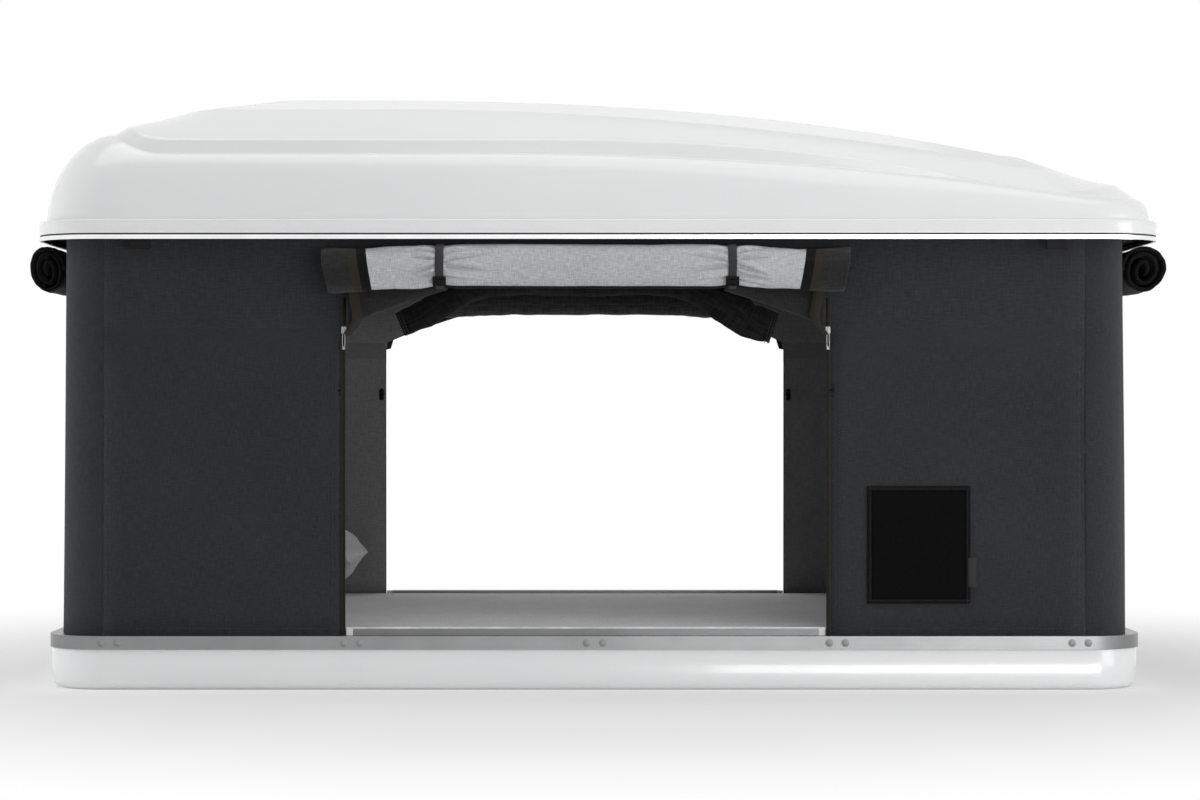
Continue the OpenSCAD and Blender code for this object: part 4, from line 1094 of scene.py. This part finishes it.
def wall_patch():
    """Patch, a little puffed in its middle, with its stitched hem and a tab folded over on its edge."""
    lo, hi = node_box("wall_patch")
    tab_w, hem_w, count = 0.013, 0.008, 16
    x0, x1, z0, z1 = lo.x, hi.x - tab_w, lo.z, hi.z
    rows = []
    for z in steps(z0, z1, count):
        row = []
        for x in steps(x0, x1, count):
            u, v = 2 * (x - x0) / (x1 - x0) - 1, 2 * (z - z0) / (z1 - z0) - 1
            puff = 0.0012 * (1 - u ** 6) * (1 - v ** 6) + 0.0006 * noise.noise(Vector((x * 30, z * 30, 0)))
            row.append(side_spot(x, z, -1, 0.0008 + puff))
        rows.append(row)
    patch = thicken(grid("patch", rows, [patch_cloth]), 0.0012)
    folds(patch, "wall_fabric", nodes=("wall_patch",))
    as_sheet(patch)
    runs = hem("patch_hem", (x0, z0), (x1, z1), lambda x, z: side_spot(x, z, -1, 0.0026), NEAR,
               hem_w, hem_w / 2, 0.0006, (0.0015,))
    folds(stitches("patch_stitches", runs, NEAR, 0.005, 0.0034, 0.0008), "webbing")
    tab_zs = steps(z0 + 0.031, z0 + 0.085, 8)
    tab_rows = []
    for a in steps(0, HALF, 10):
        x = x1 - 0.004 + (tab_w + 0.002 * math.sin(a)) * math.sin(a)
        tab_rows.append([side_spot(x, z, -1, 0.0022 + 0.0011 * (1 - math.cos(a))) for z in tab_zs])
    folds(thicken(grid("patch_tab", tab_rows, [strap_webbing]), 0.0009), "webbing")


# Half the outline of a turned toggle: the share of its half length and of its radius
toggle_profile = ((0.1, 0.6), (0.25, 0.92), (0.6, 1.0), (0.85, 0.95), (0.96, 0.7), (1.0, 0.25))


def toggles():
    """Turned toggles with a waist, on loops inside each door edge."""
    lo, hi = node_box("tie_toggles")
    half_l, r = (hi.z - lo.z) / 2, 0.005
    loop_r, loop_half_w, loop_half_t = 0.0052, 0.0018, 0.0014
    profile = [(-at, share) for at, share in reversed(toggle_profile)] + list(toggle_profile)
    around = steps(0, FULL, 20)
    parts = []
    for x, y in [(x, y) for x in (lo.x + r, hi.x - r) for y in (lo.y + r, hi.y - r)]:
        centre = Vector((x, y, (lo.z + hi.z) / 2))
        rows = [circle(centre + UP * at * half_l, FOOT * r * share, FAR * r * share, around)
                for at, share in profile]
        loop = []
        for a in around:
            way = Vector((math.cos(a), math.sin(a), 0))
            loop.append(circle(centre + way * loop_r, way * loop_half_t, UP * loop_half_w, steps(0, FULL, 8)))
        parts += [grid("toggle", rows, [black_plastic]), grid("toggle_loop", loop, [border_cloth])]
    folds(join("toggles", parts), "black_plastic", nodes=("tie_toggles",))


def end_window(name, end, out):
    """Net in an end window, with its stitched border."""

    def spot(y, z, proud):
        return Vector((base_x + end * (end_x - taper(z) + end_ripple(y, z, end) + proud), y, z))

    ys, zs = steps(-window_half, window_half, 32), steps(window_z, window_top_z, 18)
    net = grid(name + "_window_net", [[spot(y, z, -0.0006) for y in ys] for z in zs], [window_net])
    folds(net, "net_fabric", nodes=("window_nets",))
    as_sheet(net)
    runs = hem(name + "_window_border", (-window_half, window_z), (window_half, window_top_z),
               lambda y, z: spot(y, z, 0.0012), out, 0.024, 0.0, 0.0009, (-0.009, 0.009))
    folds(stitches(name + "_window_stitches", runs, out), "webbing")


for where in SIDES:
    door_zips(*where)
for where in SIDES:
    wall_seams(*where)
wall_patch()
toggles()
for where in ENDS:
    end_window(*where)

# Bed

bed_r = 0.06
piping_r = 0.0028

# Side of the mattress, from an edge to the middle: the distance from the edge and how far it is drawn in
bed_side = ((0, 0.012), (0.002, 0.006), (0.006, 0.002), (0.012, 0.002), (0.024, 0.0045))


def mattress():
    lo, hi = node_box("mattress")
    hl, hw = (hi.x - lo.x) / 2 + 0.001, hi.y + 0.001
    edge_z = hi.z - 0.006
    levels = [(lo.z + up, inset) for up, inset in bed_side] + [(mix(lo.z, edge_z, 0.5), 0.006)]
    levels += [(edge_z - down, inset) for down, inset in reversed(bed_side)]
    rings = [flat_ring(hl - inset, hw - inset, bed_r, z) for z, inset in levels]
    for inset in (0.02, 0.035, 0.055, 0.08, *steps(0.11, 0.51, 10), 0.54):
        z = mix(edge_z, hi.z - 0.001, 1 - (1 - clamp(inset / 0.3)) ** 2)
        rings.append(flat_ring(hl - inset, hw - inset, max(0.012, bed_r - 0.3 * inset), z))
    bed = ring_skin("mattress_pad", rings, bed_cloth)
    uv = bed.data.uv_layers.new(name="cloth")
    for loop in bed.data.loops:
        co = bed.data.vertices[loop.vertex_index].co
        uv.data[loop.index].uv = (co.x + 0.3 * co.z, co.y + 0.3 * co.z)
    crumple(bed, edge_z + 0.001, 0.0011)
    fixed(bed, "base", "bed_fabric", "mattress")
    piping = []
    for z in (lo.z + 0.004, edge_z - 0.003):
        path = flat_ring(hl - 0.003, hw - 0.003, bed_r, z)
        n = len(path)
        rows = []
        for i in range(n + 1):
            ahead = path[(i + 1) % n] - path[(i - 1) % n]
            aside = ahead.cross(UP).normalized()
            rows.append(circle(path[i % n], aside * piping_r, UP * piping_r, steps(0, FULL, 8)))
        piping.append(grid("mattress_piping", rows, [pillow_cloth]))
    fixed(join("mattress_piping", piping), "base", "bed_fabric")


def crumple(obj, above_z, depth):
    """Small wrinkles on the part of a pad that lies above a height."""
    for v in obj.data.vertices:
        if v.co.z > above_z:
            long_waves = noise.noise(Vector((v.co.x * 4, v.co.y * 9, 3)))
            short_waves = noise.noise(Vector((v.co.x * 16, v.co.y * 22, 8)))
            v.co.z += depth * (long_waves - 0.3 + 0.5 * short_waves)


def pillow():
    """Two faces sewn together round the edge and blown up as cloth."""
    lo, hi = node_box("pillow")
    middle, half = (lo + hi) / 2, (hi - lo) / 2
    n_u, n_v = 26, 36
    wide, deep, high, drawn_in = 1.02, 0.985, 0.80, 0.06
    crease, crease_scale = 0.011, 24
    index, points, faces = {}, [], []

    def spot(i, j, face):
        u, v = -math.cos(HALF * i / n_u), -math.cos(HALF * j / n_v)
        rise = ((1 - u * u) * (1 - v * v)) ** 0.55
        x = half.x * wide * u * (1 - drawn_in * (1 - v * v))
        y = half.y * deep * v * (1 - drawn_in * (1 - u * u))
        return middle + Vector((x, y, face * half.z * high * rise))

    def point_of(i, j, face):
        key = (i, j, 0 if i in (0, n_u) or j in (0, n_v) else face)
        if key not in index:
            index[key] = len(points)
            points.append(spot(*key))
        return index[key]

    for face in (1, -1):
        for i in range(n_u + 1):
            for j in range(n_v + 1):
                point_of(i, j, face)
        for i in range(n_u):
            for j in range(n_v):
                cell = [(i, j), (i + 1, j), (i + 1, j + 1), (i, j + 1)][::face]
                faces.append(tuple(point_of(a, b, face) for a, b in cell))
    uvs = [(points[k].x, points[k].y) for face in faces for k in face]
    pad = mesh_object("pillow_pad", points, faces, [pillow_cloth], uvs=uvs)
    puff(pad, 2.5, 14, 0.02)
    smooth = pad.modifiers.new("smooth", "SUBSURF")
    smooth.levels = 1
    smooth.render_levels = 1
    for v in pad.data.vertices:
        v.co += v.normal * crease * (0.2 - abs(noise.noise(v.co * crease_scale)))
        v.co.z = max(v.co.z, lo.z)
    fixed(pad, "base", "bed_fabric", "pillow")


def puff(obj, pressure, frames, cap):
    """Blows closed cloth up for some frames, and lets no point move further than cap."""
    scene = bpy.context.scene
    mod = obj.modifiers.new("cloth", "CLOTH")
    mod.settings.use_pressure = True
    mod.settings.uniform_pressure_force = pressure
    mod.settings.effector_weights.gravity = 0
    mod.settings.quality = 6
    mod.point_cache.frame_end = frames
    for number in range(1, frames + 1):
        scene.frame_set(number)
    ready = obj.evaluated_get(bpy.context.evaluated_depsgraph_get())
    moved = [v.co.copy() for v in ready.data.vertices]
    obj.modifiers.remove(mod)
    scene.frame_set(1)
    for v, target in zip(obj.data.vertices, moved):
        step = target - v.co
        v.co += step * min(1.0, cap / max(step.length, 1e-9))


mattress()
pillow()

# Camera and light


def camera():
    data = bpy.data.cameras.new("camera")
    data.lens = 91.1
    data.sensor_width = 36.0
    data.shift_x = 0.0167
    data.shift_y = 0.0125
    obj = bpy.data.objects.new("camera", data)
    obj.location = (-0.034, -6.250, 0.51)
    obj.rotation_euler = (QUARTER, 0, 0)
    bpy.context.collection.objects.link(obj)
    bpy.context.scene.camera = obj


def softbox(name, spot, target, size, power, mirrored=True):
    """Rectangular lamp. The glossy roof shows it only if it is mirrored."""
    data = bpy.data.lights.new(name, "AREA")
    data.shape = "RECTANGLE"
    data.size, data.size_y = size
    data.energy = power
    obj = bpy.data.objects.new(name, data)
    obj.location = spot
    obj.rotation_euler = (Vector(target) - Vector(spot)).to_track_quat("-Z", "Y").to_euler()
    obj.visible_glossy = mirrored
    bpy.context.collection.objects.link(obj)


def seen(mat_or_world):
    """1 for rays from the camera, mirrors and glass, so that they all see the white backdrop."""
    path = mat_or_world.node_tree.nodes.new("ShaderNodeLightPath")
    rays = [path.outputs[name] for name in ("Is Camera Ray", "Is Glossy Ray", "Is Transmission Ray")]
    return maths(mat_or_world, "MAXIMUM", maths(mat_or_world, "MAXIMUM", rays[0], rays[1]), rays[2])


def lights():
    world = bpy.data.worlds.new("studio")
    bpy.context.scene.world = world
    world.use_nodes = True
    back = world.node_tree.nodes["Background"]
    back.inputs["Color"].default_value = (1, 1, 1, 1)
    level = add(world, "MapRange", {"Value": seen(world), "To Min": 0.38, "To Max": 1.0})
    world.node_tree.links.new(level, back.inputs["Strength"])
    softbox("top_light", (-0.2, -0.4, 3.4), (0, 0, 0.9), (3.6, 2.6), 34)
    softbox("front_light", (2.2, -5.2, 0.46), (0.3, 0, 0.35), (3.6, 0.86), 70)
    softbox("right_light", (3.6, -2.6, 1.4), (0.6, 0, 0.6), (1.6, 2.0), 29)
    softbox("left_light", (-3.6, -0.5, 1.0), (-0.9, 0, 0.5), (0.9, 2.0), 38, False)
    softbox("back_light", (0.0, 3.6, 1.2), (0, 0, 0.2), (2.4, 1.6), 44, False)


def floor():
    """Floor that keeps the shadow near the tent and fades to the white backdrop around it."""
    mat = material("floor", (0.9, 0.9, 0.9), 0.9)
    far = add(mat, "VectorMath", {0: place(mat, "Object", (1, 1, 0))}, 1, operation="LENGTH")
    reach = {"From Min": 1.2, "From Max": 2.4, "To Min": 0.35}
    fade = add(mat, "MapRange", {"Value": far, **reach}, interpolation_type="SMOOTHSTEP")
    glow = add(mat, "Emission", {"Color": (1, 1, 1, 1), "Strength": 1.0})
    white = maths(mat, "MULTIPLY", fade, seen(mat))
    surface = add(mat, "MixShader", {0: white, 1: shader_of(mat).outputs[0], 2: glow})
    mat.node_tree.links.new(surface, mat.node_tree.nodes["Material Output"].inputs["Surface"])
    size, low = 30.0, 0.0005
    corners = [Vector((size * x, size * y, -low)) for x, y in block_square]
    mesh_object("floor", corners, [(0, 1, 2, 3)], [mat])


camera()
lights()
floor()
bpy.context.scene.view_settings.view_transform = "Standard"

# Materials of the rigid pieces that stay as they are


def at_ends(*parts):
    return [f"{end}_{part}" for end in ("head", "foot") for part in parts]


finishes = {
    rim_metal: ["base_rim"],
    rivet_metal: ["rim_rivets"],
    sill_metal: ["sill_near", "sill_far"],
    trim_metal: ["lid_trim"],
    dull_metal: ["rail_near", "rail_far", "base_tracks", "lid_tracks", "lid_frame"],
    steel: ["rail_nuts"] + at_ends("base_rod", "lid_rod", "centre_pin"),
    black_paint: ["base_gas_tubes", "lid_gas_tubes", "catch_brackets"] + at_ends("arm_a", "arm_b"),
    black_plastic: ["catch_near_head", "catch_near_foot", "catch_far_head", "catch_far_foot"]
    + at_ends("base_slider", "lid_slider"),
    cap_plastic: ["sill_end_caps"],
    rubber: ["lid_seal", "lid_bead"],
    plywood: ["floor_panel"],
}
edge_bevel = 0.0006
for finish, nodes in finishes.items():
    for node in nodes:
        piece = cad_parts[node]
        piece.data.materials.clear()
        piece.data.materials.append(finish)
        soften(piece, edge_bevel)
